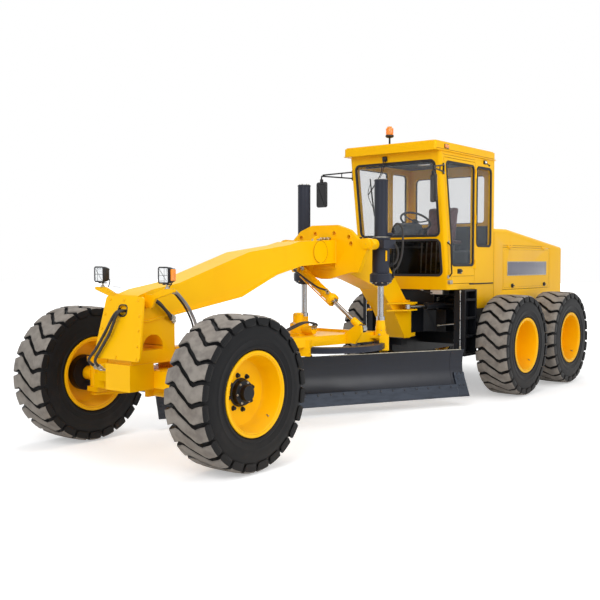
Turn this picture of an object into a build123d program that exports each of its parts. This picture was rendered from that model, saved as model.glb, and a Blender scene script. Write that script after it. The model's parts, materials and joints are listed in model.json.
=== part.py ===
# Motor grader: articulated frame, gooseneck beam, tandem rear drive, leaning front wheels
# and a circle-turned moldboard. Millimetres, +X forward, +Y left, +Z up, origin on the
# ground below the middle of the machine. Distances named "aft" run back from the front axle.
from build123d import *
import math
import os

# ---- driving dimensions -------------------------------------------------------------
wheelbase = 6216
rear_overhang = 1984
tandem_spacing = 1540
track = 2155
tyre_radius = 674
tyre_width = 445
rim_flange_radius = 371
rim_seat_radius = 338
rim_wall = 12
lugs_per_side = 18
lug_height = 34

pivot_aft = 4470          # articulation pin
pivot_low = 800
pivot_high = 1250
pivot_plate = 48
pivot_boss_radius = 105
pivot_pin_radius = 50

beam_half_width = 160
beam_lip = 18

drawbar_pivot_aft = 420
drawbar_pivot_height = 890
circle_aft = 2586
circle_radius = 740
circle_low = 790
circle_height = 110
blade_turn = 62.4
blade_length = 3965
blade_top = 690
blade_edge = 110
lift_aft = 2980
lift_half_span = 570
lift_pin_height = 1994
lift_ball_height = 960
lift_tube_top = 2740

cab_half_width = 690
cab_wall = 45
cab_base = 1430
cab_top = 3190
roof_thickness = 120
hood_base = 1160
hood_top = 2260
hood_wall = 25
hood_rear_top = 2030

kingpin_half_span = 880
lean_pivot_half_span = 720
lean_pivot_height = 600
axle_half_length = 640
steer_rod_aft = 250

running_gap = 0.5         # rods in barrels, pins in yokes
door_gap = 5

# ---- places worked out from them ----------------------------------------------------
front_axle_x = (wheelbase + rear_overhang - tyre_radius) / 2
rear_end_x = front_axle_x - wheelbase - rear_overhang
tandem_x = front_axle_x - wheelbase
wheel_y = track / 2
pivot_x = front_axle_x - pivot_aft
circle_x = front_axle_x - circle_aft
lift_x = front_axle_x - lift_aft
drawbar_pivot_x = front_axle_x - drawbar_pivot_aft


def aft(distance):
    return front_axle_x - distance


def slab(x_range, y_range, z_range):
    low = [min(r) for r in (x_range, y_range, z_range)]
    high = [max(r) for r in (x_range, y_range, z_range)]
    size = [b - a for a, b in zip(low, high)]
    middle = [(a + b) / 2 for a, b in zip(low, high)]
    return Pos(*middle) * Box(*size)


def flat_shape(points, corner):
    shape = make_face(Polyline(*points, close=True))
    return fillet(shape.vertices(), corner) if corner else shape


def side_plate(outline, y_range, corner=0):
    # outline points are (x, z)
    y_low, y_high = min(y_range), max(y_range)
    shape = flat_shape([(x, y_low, z) for x, z in outline], corner)
    return extrude(shape, amount=y_high - y_low, dir=(0, 1, 0))


def front_plate(outline, x_range, corner=0):
    # outline points are (y, z)
    x_low, x_high = min(x_range), max(x_range)
    shape = flat_shape([(x_low, y, z) for y, z in outline], corner)
    return extrude(shape, amount=x_high - x_low, dir=(1, 0, 0))


def top_plate(outline, z_range, corner=0):
    # outline points are (x, y)
    z_low, z_high = min(z_range), max(z_range)
    shape = flat_shape([(x, y, z_low) for x, y in outline], corner)
    return extrude(shape, amount=z_high - z_low, dir=(0, 0, 1))


def oblong(first, second):
    # corners of a rectangle from its two ranges
    return [(first[0], second[0]), (first[1], second[0]), (first[1], second[1]), (first[0], second[1])]


def bar(start, end, radius):
    run = Vector(*end) - Vector(*start)
    seat = Plane(origin=start, z_dir=run)
    return seat * Cylinder(radius, run.length, align=(Align.CENTER, Align.CENTER, Align.MIN))


def along(start, end, distance):
    run = Vector(*end) - Vector(*start)
    return tuple(Vector(*start) + run.normalized() * distance)


def left_right(shape):
    return shape + mirror(shape, about=Plane.XZ)


def other_side(shape):
    return mirror(shape, about=Plane.XZ)


parts = {}

# ---- wheels -------------------------------------------------------------------------
rim_half_width = 195
flange_lip = 18
tyre_flats = lugs_per_side
shoulder_radius = 560
shoulder_inset = 26
lug_root = 30                  # how deep a lug's foot sits in the carcass
# plan of one lug on the left half, columns: along the turning direction, out from the middle
lug_plan = [(-38, 14), (30, 14), (94, tyre_width / 2 - shoulder_inset), (14, tyre_width / 2 - shoulder_inset)]


def flat_sided(radius):
    return RegularPolygon(radius, tyre_flats, major_radius=False, rotation=180 / tyre_flats)


def flat_cone(y_start, radius_start, y_end, radius_end):
    ends = [Plane(origin=(0, y, 0), x_dir=(1, 0, 0), z_dir=(0, 1, 0)) * flat_sided(radius)
            for y, radius in ((y_start, radius_start), (y_end, radius_end))]
    return loft(ends, ruled=True)


def tyre():
    half = tyre_width / 2
    carcass = tyre_radius - lug_height
    crown = half - shoulder_inset
    body = flat_cone(-crown, carcass, crown, carcass)
    for side in (1, -1):
        body += flat_cone(side * crown, carcass, side * half, shoulder_radius)
    lug = top_plate(lug_plan, (carcass - lug_root, tyre_radius))
    turn = 360 / lugs_per_side
    for number in range(lugs_per_side):
        body += Rot(0, number * turn, 0) * lug
        body += Rot(0, (number + 0.5) * turn, 0) * other_side(lug)
    for side in (1, -1):
        body -= flat_cone(side * rim_half_width, rim_flange_radius + 4, side * (half + 1), shoulder_radius)
    return body - flat_cone(-half - 10, rim_seat_radius, half + 10, rim_seat_radius)


def rim(disc_y):
    # lathe section about the axle, columns: radius, y (y is outboard on a left wheel)
    outer = rim_half_width
    barrel = rim_seat_radius - rim_wall
    section = [
        (rim_seat_radius, -outer), (rim_flange_radius, -outer), (rim_flange_radius, -outer - flange_lip),
        (barrel, -outer - flange_lip), (barrel - 14, disc_y - 20), (0, disc_y - 20),
        (0, disc_y), (barrel - 50, disc_y), (barrel, outer + flange_lip),
        (rim_flange_radius, outer + flange_lip), (rim_flange_radius, outer), (rim_seat_radius, outer),
    ]
    loop = Polyline(*[(radius, y, 0) for radius, y in section], close=True)
    return revolve(make_face(loop), axis=Axis.Y)


def at_wheel(shape, x, side):
    placed = shape if side > 0 else other_side(shape)
    return Pos(x, side * wheel_y, tyre_radius) * placed


# wheel table, columns: name, x, side
wheels = [
    ("front_left", front_axle_x, 1), ("front_right", front_axle_x, -1),
    ("tandem_front_left", tandem_x + tandem_spacing / 2, 1),
    ("tandem_front_right", tandem_x + tandem_spacing / 2, -1),
    ("tandem_rear_left", tandem_x - tandem_spacing / 2, 1),
    ("tandem_rear_right", tandem_x - tandem_spacing / 2, -1),
]
front_disc_y = 20
rear_disc_y = -95
front_hub_radius = 112
rear_hub_radius = 150
hub_gap = 0.5


def make_wheels():
    rubber = tyre()
    front_rim = rim(front_disc_y)
    rear_rim = rim(rear_disc_y)
    hub = bar((0, front_disc_y, 0), (0, front_disc_y + 60, 0), front_hub_radius)
    hub += bar((0, front_disc_y + 60, 0), (0, front_disc_y + 110, 0), 70)
    for name, x, side in wheels:
        parts["tyre_" + name] = at_wheel(rubber, x, side)
        on_front = x == front_axle_x
        parts["rim_" + name] = at_wheel(front_rim + hub if on_front else rear_rim, x, side)


# ---- front axle ---------------------------------------------------------------------
beam_half_depth = 150
axle_low = 560
axle_high = 790
kingpin_radius = 32
steer_arm_low = 462
steer_height = 522
steer_eye_y = 715
lean_gap = 24                  # leaves room for the arm's rise as the wheels lean


def make_front_axle():
    ends = (lean_pivot_half_span + 40, axle_half_length)
    beam = slab((aft(beam_half_depth), aft(-beam_half_depth)), (-axle_half_length, axle_half_length),
                (640, 800))
    for side in (1, -1):
        for offset in (105, -65):
            ear = slab((aft(offset), aft(offset - 40)), (side * 600, side * ends[0]), (axle_low, 700))
            beam += ear
        beam -= slab((aft(62), aft(-62)), (side * 640, side * 800), (500, 900))
        beam += bar((aft(105), side * lean_pivot_half_span, lean_pivot_height),
                    (aft(-105), side * lean_pivot_half_span, lean_pivot_height), 24)
    # lean carriers hang in the beam's forks and hold the kingpins
    carrier = slab((aft(60), aft(-60)), (lean_pivot_half_span - 45, 800), (555, 645))
    carrier += slab((aft(60), aft(-60)), (760, 800), (500, 850))
    for low in (500, 800):
        carrier += slab((aft(60), aft(-60)), (780, kingpin_half_span + 50), (low, low + 50))
    carrier += bar((aft(60), lean_pivot_half_span, lean_pivot_height),
                   (aft(-60), lean_pivot_half_span, lean_pivot_height), 45)
    carrier -= bar((aft(70), lean_pivot_half_span, lean_pivot_height),
                   (aft(-70), lean_pivot_half_span, lean_pivot_height), 24 + running_gap)
    for low in (500, 800):
        carrier -= Pos(aft(0), kingpin_half_span, low) * Cylinder(kingpin_radius + running_gap, 200)
    parts["lean_carrier_left"] = carrier
    parts["lean_carrier_right"] = other_side(carrier)

    knuckle = bar((aft(0), kingpin_half_span, steer_arm_low), (aft(0), kingpin_half_span, 850), kingpin_radius)
    knuckle += bar((aft(0), kingpin_half_span, 550 + hub_gap), (aft(0), kingpin_half_span, 800 - hub_gap), 48)
    knuckle += bar((aft(0), kingpin_half_span, tyre_radius),
                   (aft(0), wheel_y + front_disc_y - 20 - hub_gap, tyre_radius), 70)
    arm = top_plate([(aft(-30), kingpin_half_span - 40), (aft(-30), kingpin_half_span + 40),
                     (aft(steer_rod_aft + 30), steer_eye_y + 30), (aft(steer_rod_aft + 30), steer_eye_y - 30)],
                    (steer_arm_low, steer_arm_low + 24))
    parts["knuckle_left"] = knuckle + arm
    parts["knuckle_right"] = other_side(knuckle + arm)

    # double-ended steering cylinder on the back of the beam
    for side in (1, -1):
        beam += slab((aft(beam_half_depth - 10), aft(steer_rod_aft - 20)), (side * 290, side * 250), (480, 660))
    beam += bar((aft(steer_rod_aft), -330, steer_height), (aft(steer_rod_aft), 330, steer_height), 46)
    beam -= bar((aft(steer_rod_aft), -340, steer_height), (aft(steer_rod_aft), 340, steer_height),
                22 + running_gap)
    parts["front_axle_beam"] = beam
    rod = bar((aft(steer_rod_aft), -steer_eye_y, steer_height), (aft(steer_rod_aft), steer_eye_y, steer_height), 22)
    for side in (1, -1):
        rod += bar((aft(steer_rod_aft), side * steer_eye_y, steer_arm_low + 24 + lean_gap),
                   (aft(steer_rod_aft), side * steer_eye_y, steer_height + 22), 32)
    parts["steering_rod"] = rod


# ---- front frame --------------------------------------------------------------------
# gooseneck outline, columns: aft, height
boss_aft = 2350
boss_height = 1905
boss_radius = 125
top_lug_aft = 2500
cover_corner = 35
cover_foot = (-430, 910)       # aft, height of the front cover plate's lower edge
cover_slope = 0.198            # how far it leans back for each unit up


def cover_back(height):
    return cover_foot[0] + cover_slope * (height - cover_foot[1])


neck_top = [(cover_back(1490), 1490), (-160, 1540), (180, 1594), (1160, 1893), (1800, 1974), (1980, 2015),
            (2610, 2045), (3300, 2045), (3655, 1900), (3745, 1780), (4195, 1300), (4330, 1250)]
neck_bottom = [(4330, 800), (4170, 800), (3920, 1140), (3600, 1450), (2900, 1660), (2610, 1778),
               (2000, 1746), (1580, 1652), (1030, 1435), (-220, 1248), (cover_back(1250), 1250)]


lamp_middle = (447, 1672)       # y, z


def make_front_frame():
    outline = [(aft(d), z) for d, z in neck_top + neck_bottom]
    neck = side_plate(outline, (-beam_half_width, beam_half_width))
    lip = [(aft(d), z) for d, z in neck_bottom[4:]]
    lip += [(x, z + 16) for x, z in reversed(lip)]
    neck += side_plate(lip, (-beam_half_width - beam_lip, beam_half_width + beam_lip))
    web = [(aft(cover_back(1252)), 1252), (aft(cover_back(960)), 960), (aft(120), 960), (aft(120), 1345)]
    neck += side_plate(web, (-beam_half_width, beam_half_width))
    neck -= slab((aft(-30), aft(-265)), (-300, 300), (990, 1130))
    base = slab((aft(280), aft(-405)), (-beam_half_width, beam_half_width), (870, 962))
    neck += base
    neck += slab((aft(-beam_half_depth), aft(-430)), (-170, 170), (630, 872))
    neck += slab((aft(beam_half_depth), aft(265)), (-110, 110), (690, 872))
    # socket plates for the drawbar's swivel
    for low in (962, 790):
        neck += top_plate([(aft(200), -80), (aft(200), 80), (aft(340), 46), (aft(462), 46),
                           (aft(462), -46), (aft(340), -46)], (low, low + 22))
    # articulation hinge plates
    for low, high in ((pivot_low, pivot_low + pivot_plate), (pivot_high - pivot_plate, pivot_high)):
        plate = top_plate([(aft(4200), -beam_half_width), (aft(4200), beam_half_width),
                           (pivot_x, 120), (pivot_x, -120)], (low, high))
        plate += Pos(pivot_x, 0, (low + high) / 2) * Cylinder(120, high - low)
        neck += plate
    neck += Pos(pivot_x, 0, (pivot_low + pivot_high) / 2) * Cylinder(
        pivot_pin_radius, pivot_high - pivot_low + 60)
    # clevis plates for the articulation cylinders
    for side in (1, -1):
        for low in (1160, 1250):
            neck += top_plate([(aft(3750), side * 150), (aft(4250), side * 150), (aft(4250), side * 300),
                               (aft(4000), side * 310), (aft(3880), side * 200)], (low, low + 20))
    neck += bar((aft(boss_aft), -beam_half_width - 12, boss_height), (aft(boss_aft), beam_half_width + 12, boss_height),
                boss_radius)
    neck += bar((aft(top_lug_aft), -12, 2035), (aft(top_lug_aft), 12, 2035), 55)
    parts["gooseneck"] = neck

    cover = front_plate([(-254, 1490), (254, 1490), (320, 910), (-320, 910)], (0, 22), cover_corner)
    cover -= front_plate(oblong((-60, 60), (1300, 1400)), (-10, 40), 40)
    tilt = math.degrees(math.atan(cover_slope))
    cover = Pos(aft(cover_foot[0]), 0, cover_foot[1]) * Rot(0, -tilt, 0) * Pos(0, 0, -cover_foot[1]) * cover
    wings = front_plate([(-550, 1556), (-550, 1530), (-300, 1460), (-254, 1380), (254, 1380), (300, 1460),
                         (550, 1530), (550, 1556), (400, 1556), (260, 1500), (-260, 1500), (-400, 1556)],
                        (aft(-244), aft(-220)))
    parts["front_cover_plate"] = (cover + wings) - parts["gooseneck"]

    # a tapered housing, its lens in front and an amber lamp on the outer side
    y, z = lamp_middle
    lamp = front_plate(oblong((y - 70, y + 70), (z - 72, z + 78)), (aft(-215), aft(-275)), 22)
    lamp += front_plate(oblong((y - 52, y + 52), (z - 54, z + 60)), (aft(-180), aft(-216)), 18)
    lamp += front_plate(oblong((y - 60, y + 60), (z - 62, z + 68)), (aft(-275), aft(-281)), 18)
    lamp += slab((aft(-222), aft(-262)), (y + 68, y + 92), (z - 30, z + 42))
    lamp += bar((aft(-232), y, 1556), (aft(-232), y, z - 60), 12)
    parts["headlamps"] = left_right(lamp)


saddle_aft = lift_aft - 330     # the saddle stands ahead of the cylinders that it carries
saddle_plate = 60
saddle_pin_radius = 62
ear_inner = 64
ear_thickness = 18
# index holes in the right and left wings, columns: half span, height
saddle_holes = [(140, 2122), (350, 2078), (378, 2002)]
saddle_hole_radius = 22


def make_saddle():
    half = [(0, 2220), (190, 2220), (360, 2156), (476, 2050), (600, 2060), (654, 2050), (700, 1990),
            (654, 1930), (600, 1930), (480, 1670), (390, 1670), (50, 1590), (0, 1590)]
    outline = half + [(-y, z) for y, z in reversed(half[1:-1])]
    plate = front_plate(outline, (aft(saddle_aft), aft(saddle_aft + saddle_plate)))
    plate -= slab((aft(saddle_aft - 50), aft(saddle_aft + 110)), (-beam_half_width, beam_half_width), (1700, 2046))
    for side in (1, -1):
        plate += bar((aft(saddle_aft - 10), side * lift_half_span, lift_pin_height),
                     (lift_x + yoke_half + running_gap, side * lift_half_span, lift_pin_height), saddle_pin_radius)
        for y, z in saddle_holes:
            plate -= bar((aft(saddle_aft - 50), side * y, z), (aft(saddle_aft + 110), side * y, z), saddle_hole_radius)
    # ears for the centre-shift cylinder, under the right of the neck
    y, z = shift_pin
    ear = [(y - 65, z), (y - 40, z - 50), (y + 40, z - 50), (y + 65, z), (y + 65, z + 110), (y - 65, z + 110)]
    ear_reach = ear_inner + ear_thickness
    for side in (1, -1):
        plate += front_plate(ear, (aft(shift_aft - side * ear_inner), aft(shift_aft - side * ear_reach)))
    reach = (shift_aft - ear_reach, shift_aft + ear_reach, saddle_aft + 10)
    plate += slab((aft(min(reach)), aft(max(reach))), (y - 65, y + 65), (z + 90, z + 110))
    plate -= bar((aft(shift_aft - ear_reach - 6), *shift_pin), (aft(shift_aft + ear_reach + 6), *shift_pin),
                 shift_pin_radius + running_gap)
    parts["lift_saddle"] = plate - parts["gooseneck"]


# ---- centre-shift cylinder ----------------------------------------------------------
shift_aft = 2560
shift_pin = (-310, 1720)       # y, z
shift_eye = (600, 1040)
shift_pin_radius = 30
shift_ball_radius = 42
shift_head = 640               # where the barrel ends, along the cylinder from its pin
shift_rod_start = 254
shift_rod_radius = 24
shift_eye_half = 36


def make_shift_cylinder():
    x = aft(shift_aft)
    reach = ear_inner + ear_thickness
    pin = bar((x - reach, *shift_pin), (x + reach, *shift_pin), shift_pin_radius)
    pin += Pos(x, *shift_pin) * Rot(0, 90, 0) * Sphere(shift_ball_radius)
    start, end = (x, *shift_pin), (x, *shift_eye)
    ring = bar((x - 25, *shift_pin), (x + 25, *shift_pin), 58)
    head = along(start, end, shift_head)
    barrel = ring + bar(along(start, end, 46), head, 52)
    barrel += bar(along(start, end, shift_head - 50), head, 74)
    barrel -= bar(along(start, end, 70), along(start, end, shift_head + 20), shift_rod_radius + running_gap)
    barrel -= Pos(x, *shift_pin) * Rot(0, 90, 0) * Sphere(shift_ball_radius + running_gap)
    barrel -= bar((x - 60, *shift_pin), (x + 60, *shift_pin), shift_pin_radius + 4)
    rod = bar(along(start, end, shift_rod_start), along(start, end, 1080), shift_rod_radius)
    rod += bar(along(start, end, 1000), along(start, end, 1110), 34)
    rod += bar((x - shift_eye_half, *shift_eye), (x + shift_eye_half, *shift_eye), 46)
    parts["shift_pin"] = pin
    parts["shift_barrel"] = barrel
    parts["shift_rod"] = rod


# ---- lift cylinders -----------------------------------------------------------------
yoke_half = 125
lift_barrel_radius = 100
lift_tube_radius = 78
lift_rod_radius = 35


def make_lift_cylinders():
    yoke = slab((lift_x - yoke_half, lift_x + yoke_half),
                (lift_half_span - yoke_half, lift_half_span + yoke_half), (1945, 2045))
    barrel = yoke + Pos(lift_x, lift_half_span, (1530 + 2060) / 2) * Cylinder(lift_barrel_radius, 2060 - 1530)
    barrel += Pos(lift_x, lift_half_span, 1600) * Cylinder(128, 90)
    barrel += Pos(lift_x, lift_half_span, (2060 + lift_tube_top) / 2) * Cylinder(
        lift_tube_radius, lift_tube_top - 2060)
    bore_top = lift_tube_top - 30
    barrel -= Pos(lift_x, lift_half_span, (1520 + bore_top) / 2) * Cylinder(
        lift_rod_radius + running_gap, bore_top - 1520)
    rod = Pos(lift_x, lift_half_span, (1100 + 2300) / 2) * Cylinder(lift_rod_radius, 1200)
    rod += Pos(lift_x, lift_half_span, 1085) * Cylinder(50, 150)
    for name, shape in (("lift_barrel", barrel), ("lift_rod", rod)):
        parts[name + "_left"] = shape
        parts[name + "_right"] = other_side(shape)


# ---- drawbar, circle and moldboard --------------------------------------------------
beam_low = 860
beam_high = 975
deck_low = 905
deck_high = 945
shoe_gap = 0.5
circle_drive = 430             # worm drive's place ahead of the circle's middle
shift_bracket_gap = 20         # between the centre-shift rod's eye and its bracket


def make_drawbar():
    pivot = drawbar_pivot_x
    swivel = Pos(pivot, 0, drawbar_pivot_height) * Cylinder(48, 144)
    swivel += bar((pivot, -105, drawbar_pivot_height), (pivot, 105, drawbar_pivot_height), 24)
    parts["drawbar_swivel"] = swivel
    # plan outline of the left beam, columns: x, y
    plan = [(pivot + 40, 62), (pivot + 40, 95), (pivot - 200, 120), (lift_x + 60, 510), (lift_x - 60, 510),
            (lift_x - 60, 330), (lift_x + 160, 330), (pivot - 300, 30), (pivot - 130, 30), (pivot - 130, 62)]
    drawbar = left_right(top_plate(plan, (beam_low + 5, beam_high)))
    deck_rear = min(lift_x - 58, circle_x - circle_radius * 0.7)
    deck = [(pivot - 150, -60), (pivot - 150, 60), (lift_x + 150, 480), (deck_rear, 480),
            (deck_rear, -480), (lift_x + 150, -480)]
    drawbar += top_plate(deck, (deck_low, deck_high))
    drawbar += slab((lift_x - 59, lift_x + 10), (-340, 340), (beam_low + 6, beam_high - 1))
    drawbar -= slab((pivot - 60, pivot + 60), (-120, 120), (drawbar_pivot_height + 66, beam_high + 10))
    drawbar -= bar((pivot, -110, drawbar_pivot_height), (pivot, 110, drawbar_pivot_height), 24 + running_gap)
    for side in (1, -1):
        drawbar += bar((lift_x, side * 500, 930), (lift_x, side * 640, 930), 36)
        drawbar += Pos(lift_x, side * lift_half_span, 942) * Cylinder(66, 102)
    # shoes that carry the circle, columns: angle
    for angle in (24, 122, 238, 336):
        out = circle_radius + shoe_gap
        shoe = slab((out - 60, out + 50), (-60, 60), (circle_top + shoe_gap, deck_high))
        shoe += slab((out, out + 50), (-60, 60), (circle_low - 24, deck_high))
        shoe += slab((out - 30, out + 50), (-60, 60), (circle_low - 24, circle_low - shoe_gap))
        shoe += slab((0, out), (-30, 30), (deck_low, deck_high - 5))
        drawbar += Pos(circle_x, 0, 0) * Rot(0, 0, angle) * shoe
    # bracket in front of the centre-shift rod's eye, on its own arm
    front = aft(shift_aft) + shift_eye_half + shift_bracket_gap
    y, z = shift_eye
    drawbar += front_plate([(0, deck_low + 6), (0, deck_high - 6), (y - 200, beam_high), (y - 40, z + 40),
                            (y + 40, z + 40), (y + 50, z - 40), (y - 40, beam_low + 10)], (front, front + 24))
    # worm drive that turns the circle
    drive_x = circle_x + circle_drive
    drawbar += slab((drive_x - 130, drive_x + 130), (-120, 120), (deck_high - 5, deck_high + 45))
    drawbar += Pos(drive_x, 0, 1020) * Cylinder(95, 150)
    drawbar += Pos(drive_x, 0, 1130) * Cylinder(60, 130)
    drawbar += bar((drive_x, 90, 1030), (drive_x, 230, 1030), 50)
    parts["drawbar"] = drawbar


def at_circle(shape):
    return Pos(circle_x, 0, 0) * Rot(0, 0, blade_turn) * shape


circle_top = beam_low - 5
moldboard_arc = [(30, blade_top), (-10, 450), (90, 225)]   # forward, height
board_thickness = 16
tilt_pivot = (-95, 255)                                    # forward, height
arm_half_span = 620
arm_half_width = 20
tilt_foot = (-640, 735)
tilt_head = (-210, 600)
rail_span = 1250
shift_cylinder_at = (-98, 430)
end_bit_length = 150
end_gap = 0.3


def make_circle():
    ring = Pos(0, 0, (circle_low + circle_top) / 2) * (
        Cylinder(circle_radius, circle_top - circle_low) - Cylinder(circle_radius - 120, 200))
    for side in (1, -1):
        arm = side_plate([(-285, circle_low), (-150, circle_low), (-205, 600), (-205, 540), (-170, 430), (-110, 300),
                          (-55, 275), (-50, 255), (-62, 222), (-95, 208), (-128, 222), (-300, 480)],
                         (side * (arm_half_span - arm_half_width), side * (arm_half_span + arm_half_width)))
        arm -= bar((tilt_pivot[0], side * 560, tilt_pivot[1]), (tilt_pivot[0], side * 680, tilt_pivot[1]),
                   25 + running_gap)
        ring += arm
        ring += side_plate([(-690, circle_low), (-600, circle_low), (-615, 700), (-665, 700)],
                           (side * 46, side * 64))
    pin = bar((tilt_foot[0], -64, tilt_foot[1]), (tilt_foot[0], 64, tilt_foot[1]), 20)
    parts["circle"] = at_circle(ring + pin)


def make_blade_carrier():
    frame = None
    for side in (1, -1):
        plate = side_plate([(-140, 255), (-110, 205), (-20, 215), (4, 240), (4, 290), (-60, 330), (-84, 540),
                            (-84, 620), (-150, 620), (-160, 400)], (side * 555, side * 595))
        plate += bar((tilt_pivot[0], side * 590, tilt_pivot[1]), (tilt_pivot[0], side * 645, tilt_pivot[1]), 25)
        frame = plate if frame is None else frame + plate
        frame += side_plate([(-250, 585), (-130, 555), (-115, 620), (-240, 625)], (side * 34, side * 54))
    frame += bar((-120, -575, 590), (-120, 575, 590), 34)
    tube = bar((shift_cylinder_at[0], -590, shift_cylinder_at[1]), (shift_cylinder_at[0], 594, shift_cylinder_at[1]), 46)
    frame += tube
    frame -= bar((shift_cylinder_at[0], -560, shift_cylinder_at[1]), (shift_cylinder_at[0], 700, shift_cylinder_at[1]),
                 22 + running_gap)
    for low, high, inner in ((244, 276, -38), (564, 596, -121)):
        frame -= slab((inner - running_gap, 100), (-700, 700), (low - running_gap, high + running_gap))
    frame += bar((-150, -575, 610), (-150, 575, 610), 20)
    parts["blade_carrier"] = at_circle(frame)


def make_tilt_cylinder():
    start = (tilt_foot[0], 0, tilt_foot[1])
    end = (tilt_head[0], 0, tilt_head[1])
    barrel = bar((tilt_foot[0], -24, tilt_foot[1]), (tilt_foot[0], 24, tilt_foot[1]), 40)
    barrel += bar(along(start, end, 34), along(start, end, 330), 38)
    barrel -= bar(along(start, end, 50), along(start, end, 340), 18 + running_gap)
    barrel -= bar((tilt_foot[0], -30, tilt_foot[1]), (tilt_foot[0], 30, tilt_foot[1]), 20 + running_gap)
    rod = bar(along(start, end, 120), end, 18)
    rod += bar((tilt_head[0], -26, tilt_head[1]), (tilt_head[0], 26, tilt_head[1]), 30)
    parts["tilt_barrel"] = at_circle(barrel)
    parts["tilt_rod"] = at_circle(rod)


def board_face(height):
    # how far forward the board's curved face lies at a height
    (x1, y1), (x2, y2), (x3, y3) = moldboard_arc
    twice = 2 * (x1 * (y2 - y3) + x2 * (y3 - y1) + x3 * (y1 - y2))
    s1, s2, s3 = x1 * x1 + y1 * y1, x2 * x2 + y2 * y2, x3 * x3 + y3 * y3
    middle_x = (s1 * (y2 - y3) + s2 * (y3 - y1) + s3 * (y1 - y2)) / twice
    middle_y = (s1 * (x3 - x2) + s2 * (x1 - x3) + s3 * (x2 - x1)) / twice
    radius = math.hypot(x1 - middle_x, y1 - middle_y)
    return middle_x - math.sqrt(radius ** 2 - (height - middle_y) ** 2)


def make_moldboard():
    front = ThreePointArc(*[(u, 0, z) for u, z in moldboard_arc])
    back = ThreePointArc(*[(u - board_thickness, 0, z - 4) for u, z in moldboard_arc])
    section = make_face(Wire([front, Line(front @ 1, back @ 1), back, Line(back @ 0, front @ 0)]))
    board = extrude(section, amount=blade_length / 2, dir=(0, 1, 0), both=True)
    for low, high, inner, outer in ((244, 276, -38, 62), (564, 596, -121, -10)):
        board += slab((inner, outer), (-rail_span, rail_span), (low, high)) - extrude(
            make_face(Wire([front, Line(front @ 1, (400, 0, 225)), Line((400, 0, 225), (400, 0, blade_top)),
                            Line((400, 0, blade_top), front @ 0)])), amount=3000, dir=(0, 1, 0), both=True)
    board += slab((shift_cylinder_at[0] - 30, -12), (1180, 1220), (400, 460))
    board += bar((shift_cylinder_at[0], 20, shift_cylinder_at[1]), (shift_cylinder_at[0], 1200, shift_cylinder_at[1]), 22)
    edge = side_plate([(66, 262), (88, 262), (152, blade_edge), (130, blade_edge)],
                      (end_bit_length + end_gap - blade_length / 2, blade_length / 2 - end_bit_length - end_gap))
    # end bits follow the board's face higher up, columns: forward, height
    levels = (262, 330, 400)
    bit = [(134, blade_edge), (160, blade_edge)] + [(board_face(level) + 22, level) for level in levels]
    bit += [(board_face(level) - board_thickness / 2, level) for level in reversed(levels)]
    for side in (1, -1):
        edge += side_plate(bit, (side * blade_length / 2, side * (blade_length / 2 - end_bit_length)))
    parts["moldboard"] = at_circle(board)
    parts["cutting_edge"] = at_circle(edge - board)


# ---- rear frame ---------------------------------------------------------------------
tandem_half_width = 60
tandem_mid_y = 760


hitch_levels = (900, 1000)
hitch_plate = 25
hitch_inset = 38
hitch_bore = 40


def make_rear_frame():
    frame = Pos(pivot_x, 0, (pivot_low + pivot_high) / 2) * Cylinder(
        pivot_boss_radius, pivot_high - pivot_low - 2 * pivot_plate - 6)
    low = pivot_low + pivot_plate + 3
    high = pivot_high - pivot_plate - 3
    frame += top_plate([(pivot_x, -85), (pivot_x, 85), (aft(4700), 130), (aft(4810), 300),
                        (aft(4810), -300), (aft(4700), -130)], (low, high))
    frame -= Pos(pivot_x, 0, (low + high) / 2) * Cylinder(pivot_pin_radius + 0.1, 600)
    for side in (1, -1):
        frame += slab((aft(4800), rear_end_x + 150), (side * 300, side * 420), (low, 1150))
    frame += slab((aft(4790), aft(5000)), (-420, 420), (low, 1150))
    # rear bumper with the tow pin's clevis
    frame += slab((rear_end_x + 70, rear_end_x + 160), (-600, 600), (800, 1150))
    for level in hitch_levels:
        ear = slab((rear_end_x, rear_end_x + 75), (-60, 60), (level, level + hitch_plate))
        frame += ear - Pos(rear_end_x + hitch_inset, 0, level) * Cylinder(hitch_bore / 2, 100)
    # pedestal and deck under the cab and the engine
    frame += slab((aft(4720), aft(5010)), (-270, 270), (1140, cab_base))
    frame += slab((aft(5010), aft(5600)), (-560, 560), (1140, cab_base))
    frame += slab((aft(cab_rear), aft(8050)), (-cab_half_width, cab_half_width), (hood_base - 20, hood_base))
    # rear brackets and pins of the articulation cylinders
    for side in (1, -1):
        frame += slab((aft(4890), aft(5010)), (side * 400, side * 560), (1140, 1170))
        frame += slab((aft(4890), aft(5010)), (side * 400, side * 560), (1264, 1290))
        frame += slab((aft(4998), aft(5015)), (side * 400, side * 560), (1140, 1290))
        frame += bar((aft(turn_foot[0]), side * turn_foot[1], 1150), (aft(turn_foot[0]), side * turn_foot[1], 1280), 25)
    parts["rear_frame"] = frame

    housing = slab((tandem_x - 170, tandem_x + 170), (-700, 700), (560, low))
    case = side_plate([(tandem_x - 1000, 500), (tandem_x - 1000, 800), (tandem_x - 850, 880),
                       (tandem_x + 850, 880), (tandem_x + 1000, 800), (tandem_x + 1000, 500),
                       (tandem_x + 850, 420), (tandem_x - 850, 420)], (700, 830))
    for offset in (tandem_spacing / 2, -tandem_spacing / 2):
        case += bar((tandem_x + offset, 820, tyre_radius),
                    (tandem_x + offset, wheel_y + rear_disc_y - 20 - hub_gap, tyre_radius), rear_hub_radius)
    parts["tandem_axle"] = housing + case + other_side(case)


# ---- articulation cylinders ---------------------------------------------------------
turn_foot = (4950, 500)        # aft, half span
turn_eye = (4060, 270)
turn_height = 1215


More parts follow.
